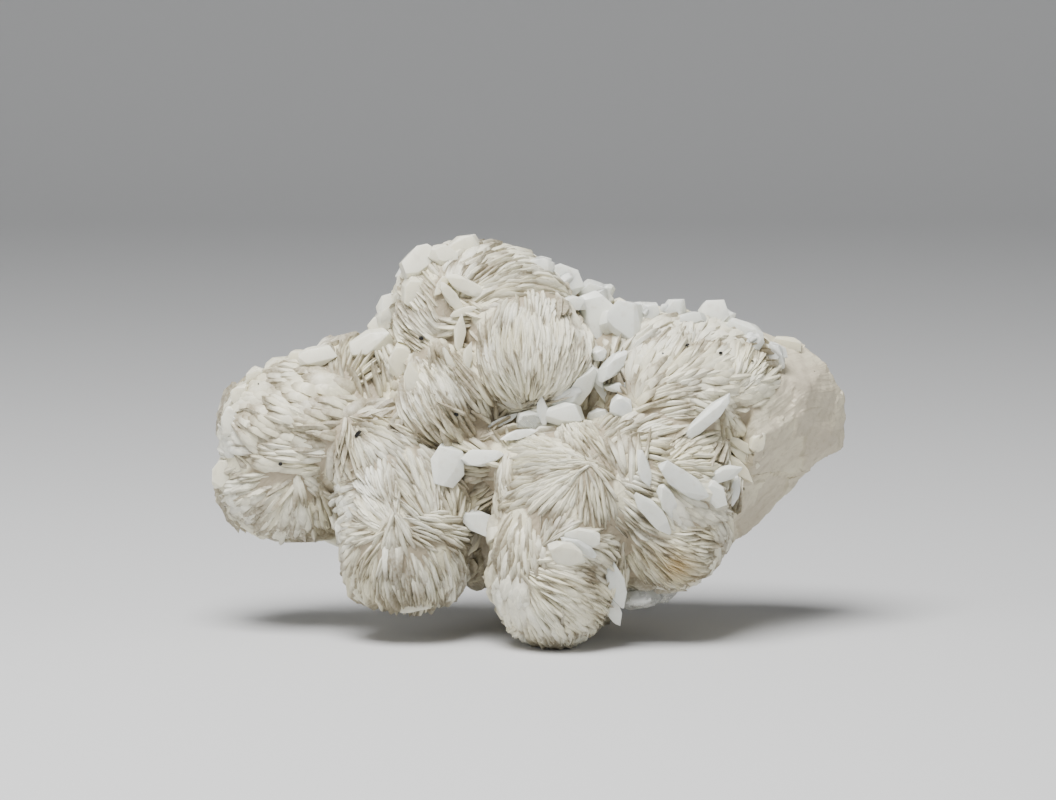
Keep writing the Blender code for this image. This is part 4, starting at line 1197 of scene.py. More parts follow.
@dataclass
class CrystalMesh:
    """Turns distinct crystals into closed bodies with flat faces and softened edges."""

    mass: Mass
    chamfers: int = 4
    bend: float = 0.12
    segments: int = 3
    grouped_from: float = 4.0
    grouped_warm: float = 0.4
    seed: int = 34

    def faces(self, crystal: Crystal, chooser: np.random.Generator) -> list[tuple[Vector, float]]:
        """Choose a crystal's faces.

        Args:
            crystal: What it is.
            chooser: The source of chance.

        Returns:
            Each face's unit normal and how far out it lies, for a crystal of half size one.
        """
        planes = []
        for angle, reach in crystal.habit.value:
            around = math.radians(angle) + chooser.normal(scale=0.07)
            normal = Vector((math.cos(around), chooser.normal(scale=0.1), math.sin(around)))
            planes.append((normal.normalized(), reach * chooser.uniform(0.92, 1.08)))
        for side in (-1.0, 1.0):
            tilt = chooser.normal(scale=0.08, size=2)
            planes.append((Vector((tilt[0], side, tilt[1])).normalized(), 0.92))
            for around in chooser.uniform(0.0, math.tau, self.chamfers):
                normal = Vector((0.8 * math.cos(around), 0.7 * side, 0.8 * math.sin(around)))
                planes.append((normal.normalized(), chooser.uniform(0.98, 1.16)))
        return planes

    def body(self, crystal: Crystal, middle: np.ndarray, chooser: np.random.Generator) -> Surface:
        """Shape one crystal.

        Args:
            crystal: What it is and how it lies.
            middle: Where its middle is.
            chooser: The source of chance.

        Returns:
            Its surface.
        """
        bm = bmesh.new()
        bmesh.ops.create_cube(bm, size=3.0)
        for normal, reach in self.faces(crystal, chooser):
            everything = bm.verts[:] + bm.edges[:] + bm.faces[:]
            cut = bmesh.ops.bisect_plane(
                bm, geom=everything, plane_co=normal * reach, plane_no=normal, clear_outer=True)
            rim = [item for item in cut["geom_cut"] if isinstance(item, bmesh.types.BMEdge)]
            if rim:
                bmesh.ops.contextual_create(bm, geom=rim)
        half = Vector((crystal.size[0], crystal.size[2], crystal.size[1])) * 0.5
        bmesh.ops.scale(bm, vec=half, verts=bm.verts)
        bmesh.ops.recalc_face_normals(bm, faces=bm.faces)
        bmesh.ops.dissolve_limit(bm, angle_limit=0.03, verts=bm.verts, edges=bm.edges)
        bmesh.ops.bevel(
            bm, geom=bm.edges[:], offset=crystal.round, segments=self.segments, profile=0.5,
            affect="EDGES", clamp_overlap=True)
        bmesh.ops.triangulate(bm, faces=bm.faces)
        bmesh.ops.recalc_face_normals(bm, faces=bm.faces)
        local = np.array([vert.co[:] for vert in bm.verts])
        triangles = np.array([[vert.index for vert in face.verts] for face in bm.faces])
        bm.free()
        swell = Ripple(3.0, int(chooser.integers(1 << 30)))
        local = local + self.bend * swell.at(local)[:, None] * unit(local)
        lean, turn, nod = (math.radians(angle) for angle in (crystal.lean, crystal.turn, crystal.nod))
        turned = Matrix.Rotation(turn, 3, "Z") @ Matrix.Rotation(nod, 3, "X")
        turned = turned @ Matrix.Rotation(-lean, 3, "Y")
        corners = middle + local @ np.array(turned).T
        corners[:, 2] = np.maximum(corners[:, 2], 0.0)
        marks = {
            "tone": np.full(len(corners), chooser.uniform()),
            "warm": np.full(len(corners), crystal.warm),
        }
        return Surface(corners, triangles, marks)

    def intergrown(self, crystal: Crystal, chooser: np.random.Generator) -> list[Crystal]:
        """Choose smaller crystals that have grown through a block.

        Args:
            crystal: The block.
            chooser: The source of chance.

        Returns:
            None to two crystals. Small, cream and flat crystals have none.
        """
        small = crystal.size[0] < self.grouped_from
        if crystal.habit is not Habit.BLOCK or small or crystal.warm > self.grouped_warm:
            return []
        group = []
        for _ in range(chooser.integers(0, 3)):
            size = np.array(crystal.size) * chooser.uniform(0.45, 0.75) * chooser.uniform(0.85, 1.15, 3)
            angles = (chooser.uniform(-90.0, 90.0), *chooser.uniform(-40.0, 40.0, 2))
            softness = (0.8 * crystal.round, crystal.warm)
            group.append(Crystal(crystal.place, tuple(size), Habit.BLOCK, *angles, *softness))
        return group

    def grow(self, crystal: Crystal, middle: np.ndarray, chooser: np.random.Generator) -> list[Surface]:
        """Shape a crystal and the ones that belong to it.

        Args:
            crystal: What it is.
            middle: Where its middle is.
            chooser: The source of chance.

        Returns:
            Its surface and those of the crystals grown through it.
        """
        parts = [self.body(crystal, middle, chooser)]
        for small in self.intergrown(crystal, chooser):
            shift = chooser.uniform(-0.32, 0.32, 3) * (crystal.size[0], crystal.size[2], crystal.size[1])
            parts.append(self.body(small, middle + shift, chooser))
        return parts

    def build(self, shown: tuple[Crystal, ...], hidden: tuple[Crystal, ...] = ()) -> Surface:
        """Make crystals as one surface, those that the front shows and those that it hides.

        Args:
            shown: Crystals of the front, placed behind the surface that is seen.
            hidden: Crystals of the sides and the back, placed by how far back they are.

        Returns:
            One surface.
        """
        chooser = np.random.default_rng(self.seed)
        parts = []
        for crystal in shown:
            parts += self.grow(crystal, self.mass.seen_place(*crystal.place), chooser)
        for crystal in hidden:
            parts += self.grow(crystal, spot(*crystal.place), chooser)
        return stacked(parts)


@dataclass
class Rock:
    """The broken massive barite behind and between the rosettes."""

    mass: Mass
    voxel: float = 0.75
    sunk: float = 1.0
    fill: float = 0.25
    cells: int = 260
    cell_tilt: float = 0.16
    seed: int = 44
    grain_along: Place = (0.74, 0.1, 0.66)
    grain_across: Place = (-0.62, 0.36, 0.7)
    coarse_layer: float = 2.6
    fine_layer: float = 0.9
    calm: float = 0.78
    calm_from: Span = (30.0, 38.0)
    calm_back: Span = (20.0, 28.0)

    def lump(self, lobe: Lobe) -> bmesh.types.BMesh:
        """Make the ball under a lobe's blades.

        Args:
            lobe: The lobe.

        Returns:
            Its mesh in metres.
        """
        bm = bmesh.new()
        bmesh.ops.create_icosphere(bm, subdivisions=4, radius=1.0)
        for vert in bm.verts:
            vert.co = Vector((lobe.centre() + np.array(vert.co) * (lobe.half() - self.sunk)) * MM)
        return bm

    def block(self, corners: tuple[Place, ...]) -> bmesh.types.BMesh:
        """Make one block, the hull of its corners.

        Args:
            corners: Its corners, as seen.

        Returns:
            Its mesh in metres.
        """
        bm = bmesh.new()
        for corner in corners:
            bm.verts.new(Vector(spot(*corner) * MM))
        hull = bmesh.ops.convex_hull(bm, input=bm.verts)
        spare = set(hull["geom_interior"]) | set(hull["geom_unused"])
        spare = [item for item in spare if isinstance(item, bmesh.types.BMVert)]
        bmesh.ops.delete(bm, geom=spare, context="VERTS")
        return bm

    def skin(self) -> tuple[np.ndarray, np.ndarray]:
        """Join the lumps and blocks and cover them with an even skin.

        Returns:
            The skin's corners in millimetres and its triangles.
        """
        mesh = bpy.data.meshes.new("skin")
        whole = bmesh.new()
        parts = [self.lump(lobe) for lobe in LOBES.values()]
        parts += [self.block(corners) for corners in BROKEN_BLOCKS.values()]
        for part in parts:
            part.to_mesh(mesh)
            part.free()
            whole.from_mesh(mesh)
        whole.to_mesh(mesh)
        whole.free()
        body = bpy.data.objects.new("skin", mesh)
        bpy.context.scene.collection.objects.link(body)
        remesh = body.modifiers.new("skin", "REMESH")
        remesh.mode = "VOXEL"
        remesh.voxel_size = self.voxel * MM
        body.modifiers.new("triangles", "TRIANGULATE")
        shown = body.evaluated_get(bpy.context.evaluated_depsgraph_get()).to_mesh()
        corners = np.zeros(len(shown.vertices) * 3)
        shown.vertices.foreach_get("co", corners)
        triangles = np.zeros(len(shown.polygons) * 3, dtype=np.int32)
        shown.loops.foreach_get("vertex_index", triangles)
        bpy.data.objects.remove(body, do_unlink=True)
        return corners.reshape(-1, 3) / MM, triangles.reshape(-1, 3)

    def build(self) -> Surface:
        """Make the rock with its broken surface.

        Where no blades grow it is bare and breaks into tilted cells and terraces, calmer at the right
        end. Elsewhere it only fills the gaps between the blades.

        Returns:
            The rock's surface.
        """
        corners, triangles = self.skin()
        corners = self.mass.settle(corners, self.mass.outward(corners), -self.sunk)
        chooser = np.random.default_rng(self.seed)
        lobes = self.mass.lobe_distances(corners).min(axis=1)
        blocks = self.mass.block_distance(corners)
        bare = smooth(lobes - blocks, 0.8, 2.2) * (1.0 - smooth(blocks, -0.4, 0.6))
        seeds = chooser.uniform(corners.min(axis=0), corners.max(axis=0), (self.cells, 3))
        tilts = chooser.normal(scale=self.cell_tilt, size=(self.cells, 3))
        steps = chooser.normal(scale=0.35, size=self.cells)
        owner = nearest_seed(corners + 0.8 * Ripple(3.0, 6).at(corners)[:, None], seeds)
        offset = np.sum((corners - seeds[owner]) * tilts[owner], axis=1) + steps[owner]
        layer = corners @ self.grain_across + 0.5 * Ripple(11.0, 17).at(corners)
        terraces = 0.55 * (layer / self.coarse_layer % 1.0) + 0.22 * (layer / self.fine_layer % 1.0)
        calm = smooth(corners[:, 0], *self.calm_from) * (1.0 - smooth(corners[:, 1], *self.calm_back))
        rough = 1.0 - self.calm * calm
        offset = np.clip(offset, -1.2, 1.0) * rough + self.sunk - 0.5 + terraces * rough
        waves = 0.4 + 0.34 * Ripple(5.0, 19).at(corners) + 0.16 * Ripple(1.8, 20).at(corners)
        offset = (offset + calm * waves) * bare
        filled = smooth(Ripple(4.5, 15).at(corners), 0.15, 1.0)
        offset += self.fill * filled * (1.0 - bare)
        offset += 0.1 * rough * Ripple(0.9, 12).at(corners)
        offset *= smooth(corners[:, 2], 0.4, 2.0)
        corners = corners + corner_normals(corners, triangles) * offset[:, None]
        corners[:, 2] = np.maximum(corners[:, 2], 0.0)
        marks = {
            "tone": chooser.uniform(size=self.cells)[owner],
            "bare": bare,
            "fill": filled,
            "layer": layer,
            "course": corners @ self.grain_along,
            # Painted shade around the hollows between sheaves.
            "hollow_shade": near_places(corners, self.mass.hollows, HOLLOWS),
        }
        return Surface(corners, triangles, marks)


@dataclass
class Slabs:
    """Broken coarse plates that show on the bare rock."""

    count: int = 1100
    domains: int = 60
    slant: float = 0.9
    bare_from: float = 0.6
    lowest: float = 1.5
    smooth_end: float = 34.0
    smooth_back: float = 26.0
    seed: int = 58

    def seats(self, rock: Surface, growth: Growth) -> Seats:
        """Choose where the plates of the bare rock stand.

        Args:
            rock: The rock's surface.
            growth: The plan, to which the plates' own sheaves are added.

        Returns:
            The seats.
        """
        chooser = np.random.default_rng(self.seed)
        sides = rock.corners[rock.triangles]
        normals = np.cross(sides[:, 1] - sides[:, 0], sides[:, 2] - sides[:, 0])
        middles = sides.mean(axis=1)
        bare = rock.marks["bare"][rock.triangles[:, 0]]
        share = np.linalg.norm(normals, axis=1) * (bare > self.bare_from)
        share *= middles[:, 2] > self.lowest
        share *= (middles[:, 0] < self.smooth_end) | (middles[:, 1] > self.smooth_back)
        chosen = chooser.choice(len(middles), self.count, p=share / share.sum())
        point = middles[chosen]
        seeds = chooser.uniform(point.min(axis=0), point.max(axis=0), (self.domains, 3))
        owner = nearest_seed(point, seeds)
        lengthways = unit(chooser.normal(size=(self.domains, 3)))[owner]
        outward = growth.mass.outward(point)
        along = unit(lengthways - outward * np.sum(lengthways * outward, axis=1)[:, None])
        slant = chooser.uniform(-self.slant, self.slant, self.domains)[owner][:, None]
        outward = unit(outward + slant * np.cross(outward, along))
        first = len(growth.bundles)
        pales = chooser.uniform(0.1, 0.5, self.domains)
        place = seeds[0]
        growth.bundles += [Bundle("", place, place, 1.0, Grade.SLAB, 0.0, pale, 0.0) for pale in pales]
        edge = np.full(self.count, 3.0)
        free = np.full(self.count, -0.3)
        return Seats(point, along, outward, edge, free, owner + first)


class Nodes:
    """Writes shader nodes into a tree."""

    def __init__(self, tree: bpy.types.NodeTree) -> None:
        """Start on a tree."""
        self.tree = tree

    def add(self, kind: str, **settings: object) -> bpy.types.Node:
        """Add a node and set its properties.

        Args:
            kind: The node's type.
            settings: Its properties and their values.

        Returns:
            The node.
        """
        node = self.tree.nodes.new(kind)
        for name, value in settings.items():
            setattr(node, name, value)
        return node

    def feed(self, socket: bpy.types.NodeSocket, source: object) -> None:
        """Link a source to a socket, or set the socket where the source is a plain value.

        Args:
            socket: The socket.
            source: An output of a node, or a value.
        """
        if isinstance(source, bpy.types.NodeSocket):
            self.tree.links.new(source, socket)
        else:
            socket.default_value = source

    def mark(self, name: str) -> bpy.types.NodeSocket:
        """Read one of the marks at the corners."""
        return self.add("ShaderNodeAttribute", attribute_name=name).outputs["Fac"]

    def math(
        self, operation: str, first: object, second: object = 0.0, third: object = 0.0
    ) -> bpy.types.NodeSocket:
        """Reckon with up to three numbers.

        Args:
            operation: The name of the operation.
            first: The first number.
            second: The second number.
            third: The third number.

        Returns:
            The result.
        """
        node = self.add("ShaderNodeMath", operation=operation)
        for socket, source in zip(node.inputs, (first, second, third)):
            self.feed(socket, source)
        return node.outputs[0]

    def rise(
        self, value: object, low: object, high: object, start: float = 0.0, end: float = 1.0
    ) -> bpy.types.NodeSocket:
        """Map a value from low to high smoothly onto start to end.

        Args:
            value: The value.
            low: Where it starts to rise.
            high: Where it has risen.
            start: What it gives below low.
            end: What it gives above high.

        Returns:
            The result.
        """
        node = self.add("ShaderNodeMapRange", interpolation_type="SMOOTHSTEP")
        names = ("Value", "From Min", "From Max", "To Min", "To Max")
        for name, source in zip(names, (value, low, high, start, end)):
            self.feed(node.inputs[name], source)
        return node.outputs["Result"]

    def blend(self, share: object, first: object, second: object, how: str = "MIX") -> bpy.types.NodeSocket:
        """Blend two colours.

        Args:
            share: How much of the second colour shows.
            first: The first colour.
            second: The second colour.
            how: The name of the way of blending.

        Returns:
            The blended colour.
        """
        # The mix node has sockets for every kind of data, and these are the ones for colours.
        node = self.add("ShaderNodeMix", data_type="RGBA", blend_type=how)
        self.feed(node.inputs[0], share)
        self.feed(node.inputs[6], first)
        self.feed(node.inputs[7], second)
        return node.outputs[2]

    def noise(self, place: object, scale: float, detail: float = 2.0) -> bpy.types.NodeSocket:
        """Make noise between 0 and 1.

        Args:
            place: The place.
            scale: How many swells there are in a unit of length.
            detail: How many finer layers are added.

        Returns:
            The noise.
        """
        node = self.add("ShaderNodeTexNoise")
        self.feed(node.inputs["Vector"], place)
        self.feed(node.inputs["Scale"], scale)
        self.feed(node.inputs["Detail"], detail)
        return node.outputs["Fac"]

    def where(self) -> bpy.types.NodeSocket:
        """Return the place on the object in metres."""
        return self.add("ShaderNodeTexCoord").outputs["Object"]

    def bump(self, strength: float, distance: float, height: object) -> bpy.types.NodeSocket:
        """Give a surface a fine relief.

        Args:
            strength: How strong the relief is, from 0 to 1.
            distance: How high it is, in metres.
            height: The relief's pattern.

        Returns:
            The normal.
        """
        node = self.add("ShaderNodeBump")
        for name, source in (("Strength", strength), ("Distance", distance), ("Height", height)):
            self.feed(node.inputs[name], source)
        return node.outputs[0]


class Effect:
    """A shader node group with named inputs and outputs."""

    def __init__(self, name: str, inputs: dict[str, float], outputs: tuple[str, ...]) -> None:
        """Make the group's tree and its sockets.

        Args:
            name: The group's name.
            inputs: The numbers that it takes, with what they are if nothing is linked.
            outputs: The numbers that it gives.
        """
        self.tree = bpy.data.node_groups.new(name, "ShaderNodeTree")
        for key, value in inputs.items():
            socket = self.tree.interface.new_socket(key, in_out="INPUT", socket_type="NodeSocketFloat")
            socket.default_value = value
        for key in outputs:
            self.tree.interface.new_socket(key, in_out="OUTPUT", socket_type="NodeSocketFloat")
        self.nodes = Nodes(self.tree)
        self.given = self.nodes.add("NodeGroupInput").outputs
        self.result = self.nodes.add("NodeGroupOutput").inputs

    def use(self, nodes: Nodes, **sources: object) -> bpy.types.Node:
        """Place the group in a material.

        Args:
            nodes: The material's nodes.
            sources: What feeds the group's inputs, by their names.

        Returns:
            The group's node.
        """
        node = nodes.add("ShaderNodeGroup", node_tree=self.tree)
        for name, source in sources.items():
            nodes.feed(node.inputs[name], source)
        return node


def crevice_effect() -> Effect:
    """Make the group that paints shade into the crevices between blades, darker the deeper a place lies
    below the rims.

    Returns:
        The group.
    """
    effect = Effect("crevice_shade", {"Depth": 0.0, "Start": 0.3, "End": 1.7}, ("Mask",))
    nodes, given = effect.nodes, effect.given
    broad = nodes.noise(nodes.where(), 160.0, 3.0)
    fine = nodes.noise(nodes.where(), 1400.0, 2.0)
    # Painted shade: the mask rises with the depth below the blade rims and is broken up by noise.
    depth = nodes.math("MULTIPLY_ADD", broad, 1.6, nodes.math("SUBTRACT", given["Depth"], 0.8))
    shaded = nodes.rise(depth, given["Start"], given["End"])
    mottled = nodes.rise(fine, 0.3, 0.7, 0.65, 1.0)
    nodes.feed(effect.result["Mask"], nodes.math("MULTIPLY", shaded, mottled))
    return effect


def streak_effect() -> Effect:
    """Make the group that draws fine growth lines along a blade.

    Returns:
        The group.
    """
    effect = Effect("growth_lines", {"Run": 0.0, "Rise": 0.0, "Tone": 0.0}, ("Shade", "Height"))
    nodes, given = effect.nodes, effect.given
    place = nodes.add("ShaderNodeCombineXYZ")
    nodes.feed(place.inputs[0], nodes.math("MULTIPLY", given["Run"], 0.22))
    nodes.feed(place.inputs[1], nodes.math("MULTIPLY", given["Rise"], 2.6))
    nodes.feed(place.inputs[2], nodes.math("MULTIPLY", given["Tone"], 40.0))
    lines = nodes.noise(place.outputs[0], 1.5, 3.0)
    grain = nodes.noise(nodes.where(), 3200.0, 2.0)
    nodes.feed(effect.result["Shade"], nodes.rise(lines, 0.3, 0.7))
    nodes.feed(effect.result["Height"], nodes.math("MULTIPLY_ADD", grain, 0.35, lines))
    return effect


def speck_effect() -> Effect:
    """Make the group that scatters small dark mineral grains.

    Returns:
        The group.
    """
    effect = Effect("dark_specks", {"Amount": 0.1}, ("Mask",))
    nodes, given = effect.nodes, effect.given
    cells = nodes.add("ShaderNodeTexVoronoi")
    nodes.feed(cells.inputs["Vector"], nodes.where())
    nodes.feed(cells.inputs["Scale"], 420.0)
    near = nodes.math("LESS_THAN", cells.outputs["Distance"], 0.1)
    parts = nodes.add("ShaderNodeSeparateColor")
    nodes.feed(parts.inputs["Color"], cells.outputs["Color"])
    some = nodes.math("LESS_THAN", parts.outputs[0], given["Amount"])
    nodes.feed(effect.result["Mask"], nodes.math("MULTIPLY", near, some))
    return effect


Colour = tuple[float, float, float, float]


@dataclass(frozen=True)
class Palette:
    """The colours of the cluster, in linear light."""

    cream: Colour = (0.77, 0.72, 0.53, 1.0)
    white: Colour = (0.83, 0.825, 0.725, 1.0)
    # Dark brown, for the rock's own mottling and for painted shade in crevices and hollows.
    dirt_and_shade: Colour = (0.22, 0.175, 0.11, 1.0)
    speck: Colour = (0.012, 0.011, 0.01, 1.0)
    tan: Colour = (0.5, 0.44, 0.33, 1.0)
    earth: Colour = (0.38, 0.32, 0.225, 1.0)
    ochre: Colour = (0.62, 0.43, 0.17, 1.0)
    milk: Colour = (0.7, 0.715, 0.66, 1.0)
    clear: Colour = (0.86, 0.88, 0.87, 1.0)


@dataclass(frozen=True)
class Effects:
    """The node groups of the finishes."""

    crevice: Effect
    streaks: Effect
    specks: Effect


def new_material(name: str) -> tuple[bpy.types.Material, Nodes, bpy.types.Node]:
    """Start a material.

    Args:
        name: Its name.

    Returns:
        The material, its nodes and its Principled shader.
    """
    material = bpy.data.materials.new(name)
    material.use_nodes = True
    return material, Nodes(material.node_tree), material.node_tree.nodes["Principled BSDF"]


@dataclass(frozen=True)
class BladeFinish:
    """Cream to white barite blades, with painted shade in the crevices between them and around the hollows.
    """

    palette: Palette
    effects: Effects
    roughness: float = 0.5

    def material(self) -> bpy.types.Material:
        """Build the material.

        Returns:
            The material.
        """
        material, nodes, shader = new_material("barite_blades")
        streaks = self.effects.streaks.use(
            nodes, Run=nodes.mark("run"), Rise=nodes.mark("rise"), Tone=nodes.mark("tone"))
        # Mask of painted shade in the crevices between blades.
        dirt_and_shade = self.effects.crevice.use(nodes, Depth=nodes.mark("depth")).outputs["Mask"]
        specks = self.effects.specks.use(nodes, Amount=0.012).outputs["Mask"]
        patch = nodes.noise(nodes.where(), 110.0, 3.0)
        pale = nodes.math("MULTIPLY_ADD", patch, 0.8, nodes.math("SUBTRACT", nodes.mark("pale"), 0.65))
        pale = nodes.math("MULTIPLY_ADD", nodes.mark("tone"), 0.3, pale)
        colour = nodes.blend(pale, self.palette.cream, self.palette.white)
        spotted = nodes.math("MULTIPLY", nodes.mark("stain"), nodes.rise(patch, 0.3, 0.6, 0.4, 1.0))
        colour = nodes.blend(nodes.math("MULTIPLY", spotted, 0.75), colour, self.palette.ochre)
        # Painted shade around the hollows between sheaves.
        colour = nodes.blend(nodes.math("MULTIPLY", nodes.mark("hollow_shade"), 0.65), colour, self.palette.dirt_and_shade)
        shade = nodes.rise(streaks.outputs["Shade"], 0.0, 1.0, 0.86, 1.0)
        grey = nodes.add("ShaderNodeCombineColor")
        for socket in grey.inputs[:3]:
            nodes.feed(socket, shade)
        colour = nodes.blend(1.0, colour, grey.outputs[0], "MULTIPLY")
        # Painted shade in the crevices between blades.
        colour = nodes.blend(nodes.math("MULTIPLY", dirt_and_shade, 0.85), colour, self.palette.dirt_and_shade)
        colour = nodes.blend(specks, colour, self.palette.speck)
        nodes.feed(shader.inputs["Base Color"], colour)
        low, high = self.roughness - 0.1, self.roughness + 0.1
        nodes.feed(shader.inputs["Roughness"], nodes.rise(patch, 0.3, 0.7, low, high))
        nodes.feed(shader.inputs["Normal"], nodes.bump(0.5, 0.00012, streaks.outputs["Height"]))
        shader.inputs["IOR"].default_value = BARITE_IOR
        shader.inputs["Specular IOR Level"].default_value = 0.35
        return material


@dataclass(frozen=True)
class RockFinish:
    """Broken massive barite, tan to cream and dull."""

    palette: Palette
    effects: Effects

    def material(self) -> bpy.types.Material:
        """Build the material.

        Returns:
            The material.
        """
        material, nodes, shader = new_material("broken_barite")
        broad = nodes.noise(nodes.where(), 60.0, 4.0)
        fine = nodes.noise(nodes.where(), 900.0, 4.0)
        tone = nodes.math("MULTIPLY_ADD", nodes.mark("tone"), 0.35, nodes.math("SUBTRACT", broad, 0.2))
        colour = nodes.blend(nodes.rise(tone, 0.2, 0.95), self.palette.tan, self.palette.cream)
        place = nodes.add("ShaderNodeCombineXYZ")
        nodes.feed(place.inputs[0], nodes.math("MULTIPLY", nodes.mark("layer"), 1.6))
        nodes.feed(place.inputs[1], nodes.math("MULTIPLY", nodes.mark("course"), 0.12))
        lines = nodes.noise(place.outputs[0], 1.0, 4.0)
        colour = nodes.blend(nodes.rise(lines, 0.52, 0.72, 0.0, 0.5), colour, self.palette.earth)
        filled = nodes.rise(nodes.mark("fill"), 0.1, 0.8)
        filling = nodes.blend(filled, self.palette.earth, self.palette.cream)
        colour = nodes.blend(nodes.mark("bare"), filling, colour)
        # Painted shade around the hollows between sheaves.
        colour = nodes.blend(nodes.math("MULTIPLY", nodes.mark("hollow_shade"), 0.6), colour, self.palette.dirt_and_shade)
        colour = nodes.blend(nodes.rise(fine, 0.5, 0.75, 0.0, 0.25), colour, self.palette.dirt_and_shade)
        specks = self.effects.specks.use(nodes, Amount=0.02).outputs["Mask"]
        colour = nodes.blend(specks, colour, self.palette.speck)
        nodes.feed(shader.inputs["Base Color"], colour)
        nodes.feed(shader.inputs["Roughness"], nodes.rise(fine, 0.3, 0.7, 0.5, 0.75))
        relief = nodes.math("MULTIPLY_ADD", lines, 1.5, fine)
        nodes.feed(shader.inputs["Normal"], nodes.bump(0.6, 0.0003, relief))
        return material


@dataclass(frozen=True)
class CrystalFinish:
    """Milky to cream crystals that let some light through."""

    palette: Palette

    def material(self) -> bpy.types.Material:
        """Build the material.

        Returns:
            The material.
        """
        material, nodes, shader = new_material("milky_crystals")
        cloud = nodes.noise(nodes.where(), 240.0, 4.0)
        tone = nodes.math("MULTIPLY_ADD", nodes.mark("tone"), 0.5, nodes.math("MULTIPLY", cloud, 0.6))
        colour = nodes.blend(nodes.rise(tone, 0.2, 1.1, 0.0, 0.8), self.palette.milk, self.palette.white)
        colour = nodes.blend(nodes.mark("warm"), colour, self.palette.cream)
        frost = nodes.noise(nodes.where(), 700.0, 5.0)
        colour = nodes.blend(nodes.rise(frost, 0.5, 0.8, 0.0, 0.35), colour, self.palette.tan)
        nodes.feed(shader.inputs["Base Color"], colour)
        nodes.feed(shader.inputs["Roughness"], nodes.rise(cloud, 0.3, 0.7, 0.34, 0.6))
        relief = nodes.noise(nodes.where(), 1500.0, 4.0)
        nodes.feed(shader.inputs["Normal"], nodes.bump(0.35, 0.0001, relief))
        shader.inputs["IOR"].default_value = BARITE_IOR
        shader.inputs["Subsurface Weight"].default_value = 0.5
        shader.inputs["Subsurface Radius"].default_value = (1.0, 0.95, 0.9)
        shader.inputs["Subsurface Scale"].default_value = 0.0016
        return material


@dataclass(frozen=True)
class ClearFinish:
    """Clear to greyish crystals that are seen through."""

    palette: Palette

    def material(self) -> bpy.types.Material:
        """Build the material.

        Returns:
            The material.
        """
        material, nodes, shader = new_material("clear_crystals")
        cloud = nodes.noise(nodes.where(), 500.0, 3.0)
        nodes.feed(shader.inputs["Base Color"], nodes.blend(cloud, self.palette.clear, self.palette.white))
        nodes.feed(shader.inputs["Roughness"], nodes.rise(cloud, 0.35, 0.7, 0.08, 0.4))
        shader.inputs["IOR"].default_value = BARITE_IOR
        shader.inputs["Transmission Weight"].default_value = 0.75
        return material


@dataclass(frozen=True)
class GrainFinish:
    """Small grains of a black mineral."""

    palette: Palette

    def material(self) -> bpy.types.Material:
        """Build the material.

        Returns:
            The material.
        """
        material, nodes, shader = new_material("dark_grains")
        nodes.feed(shader.inputs["Base Color"], self.palette.speck)
        grain = nodes.noise(nodes.where(), 2500.0)
        nodes.feed(shader.inputs["Roughness"], nodes.rise(grain, 0.3, 0.7, 0.3, 0.6))
        shader.inputs["Specular IOR Level"].default_value = 0.25
        return material


@dataclass
class Studio:
    """The floor, the lights and the camera."""

    distance: float = 1200.0
    frame_width: float = 211.2
    frame_middle: Place = (0.5, 49.6, 10.0)
    sensor: float = 36.0
    floor_colour: Colour = (0.6, 0.6, 0.6, 1.0)

    def floor(self) -> None:
        """Lay a pale floor that turns up into the backdrop."""
        width, near, far, bend, tall = 2.0, -1.6, 0.9, 0.5, 2.0
        profile = [(near, 0.0)]
        for step in range(13):
            angle = math.radians(90.0 * step / 12.0)
            profile.append((far + bend * math.sin(angle), bend * (1.0 - math.cos(angle))))
        profile.append((far + bend, tall))
        bm = bmesh.new()
        rows = [[bm.verts.new((side, y, z)) for side in (-width, width)] for y, z in profile]
        for lower, upper in zip(rows, rows[1:]):
            face = bm.faces.new((lower[0], lower[1], upper[1], upper[0]))
            face.smooth = True
        mesh = bpy.data.meshes.new("floor")
        bm.to_mesh(mesh)
        bm.free()
        floor = bpy.data.objects.new("floor", mesh)
        bpy.context.scene.collection.objects.link(floor)
        material, _, shader = new_material("studio_floor")
        shader.inputs["Base Color"].default_value = self.floor_colour
        shader.inputs["Roughness"].default_value = 0.7
        mesh.materials.append(material)

    def light(self, name: str, place: Place, size: float, power: float) -> None:
        """Hang a soft square light that faces the cluster.

        Args:
            name: Its name.
            place: Where it hangs, in metres.
            size: Its side in metres.
            power: Its power in watts.
        """
        data = bpy.data.lights.new(name, "AREA")
        data.shape = "SQUARE"
        data.size = size
        data.energy = power
        lamp = bpy.data.objects.new(name, data)
        lamp.location = place
        aim = Vector((0.0, 0.0, 0.04)) - Vector(place)
        lamp.rotation_euler = aim.to_track_quat("-Z", "Y").to_euler()
        bpy.context.scene.collection.objects.link(lamp)

    def camera(self) -> None:
        """Stand the camera at the photograph's viewing angle."""
        data = bpy.data.cameras.new("camera")
        data.sensor_width = self.sensor
        data.lens = self.sensor * self.distance / self.frame_width
        data.clip_start = 0.05
        data.clip_end = 20.0
        eye = bpy.data.objects.new("camera", data)
        back = np.array((0.0, -math.cos(VIEW_TILT), math.sin(VIEW_TILT)))
        eye.location = (spot(*self.frame_middle) + back * self.distance) * MM
        eye.rotation_euler = (math.pi / 2.0 - VIEW_TILT, 0.0, 0.0)
        bpy.context.scene.collection.objects.link(eye)
        bpy.context.scene.camera = eye

    def build(self) -> None:
        """Set up the whole studio."""
        self.floor()
        self.light("top_light", (-0.12, -0.28, 0.7), 0.4, 13.0)
        self.light("left_light", (-0.75, -0.5, 0.35), 0.4, 2.0)
        self.light("right_light", (0.8, -0.3, 0.25), 0.4, 1.2)
        world = bpy.data.worlds.new("studio")
        world.use_nodes = True
        world.node_tree.nodes["Background"].inputs["Color"].default_value = (0.92, 0.96, 1.0, 1.0)
        world.node_tree.nodes["Background"].inputs["Strength"].default_value = 0.17
        bpy.context.scene.world = world
        self.camera()


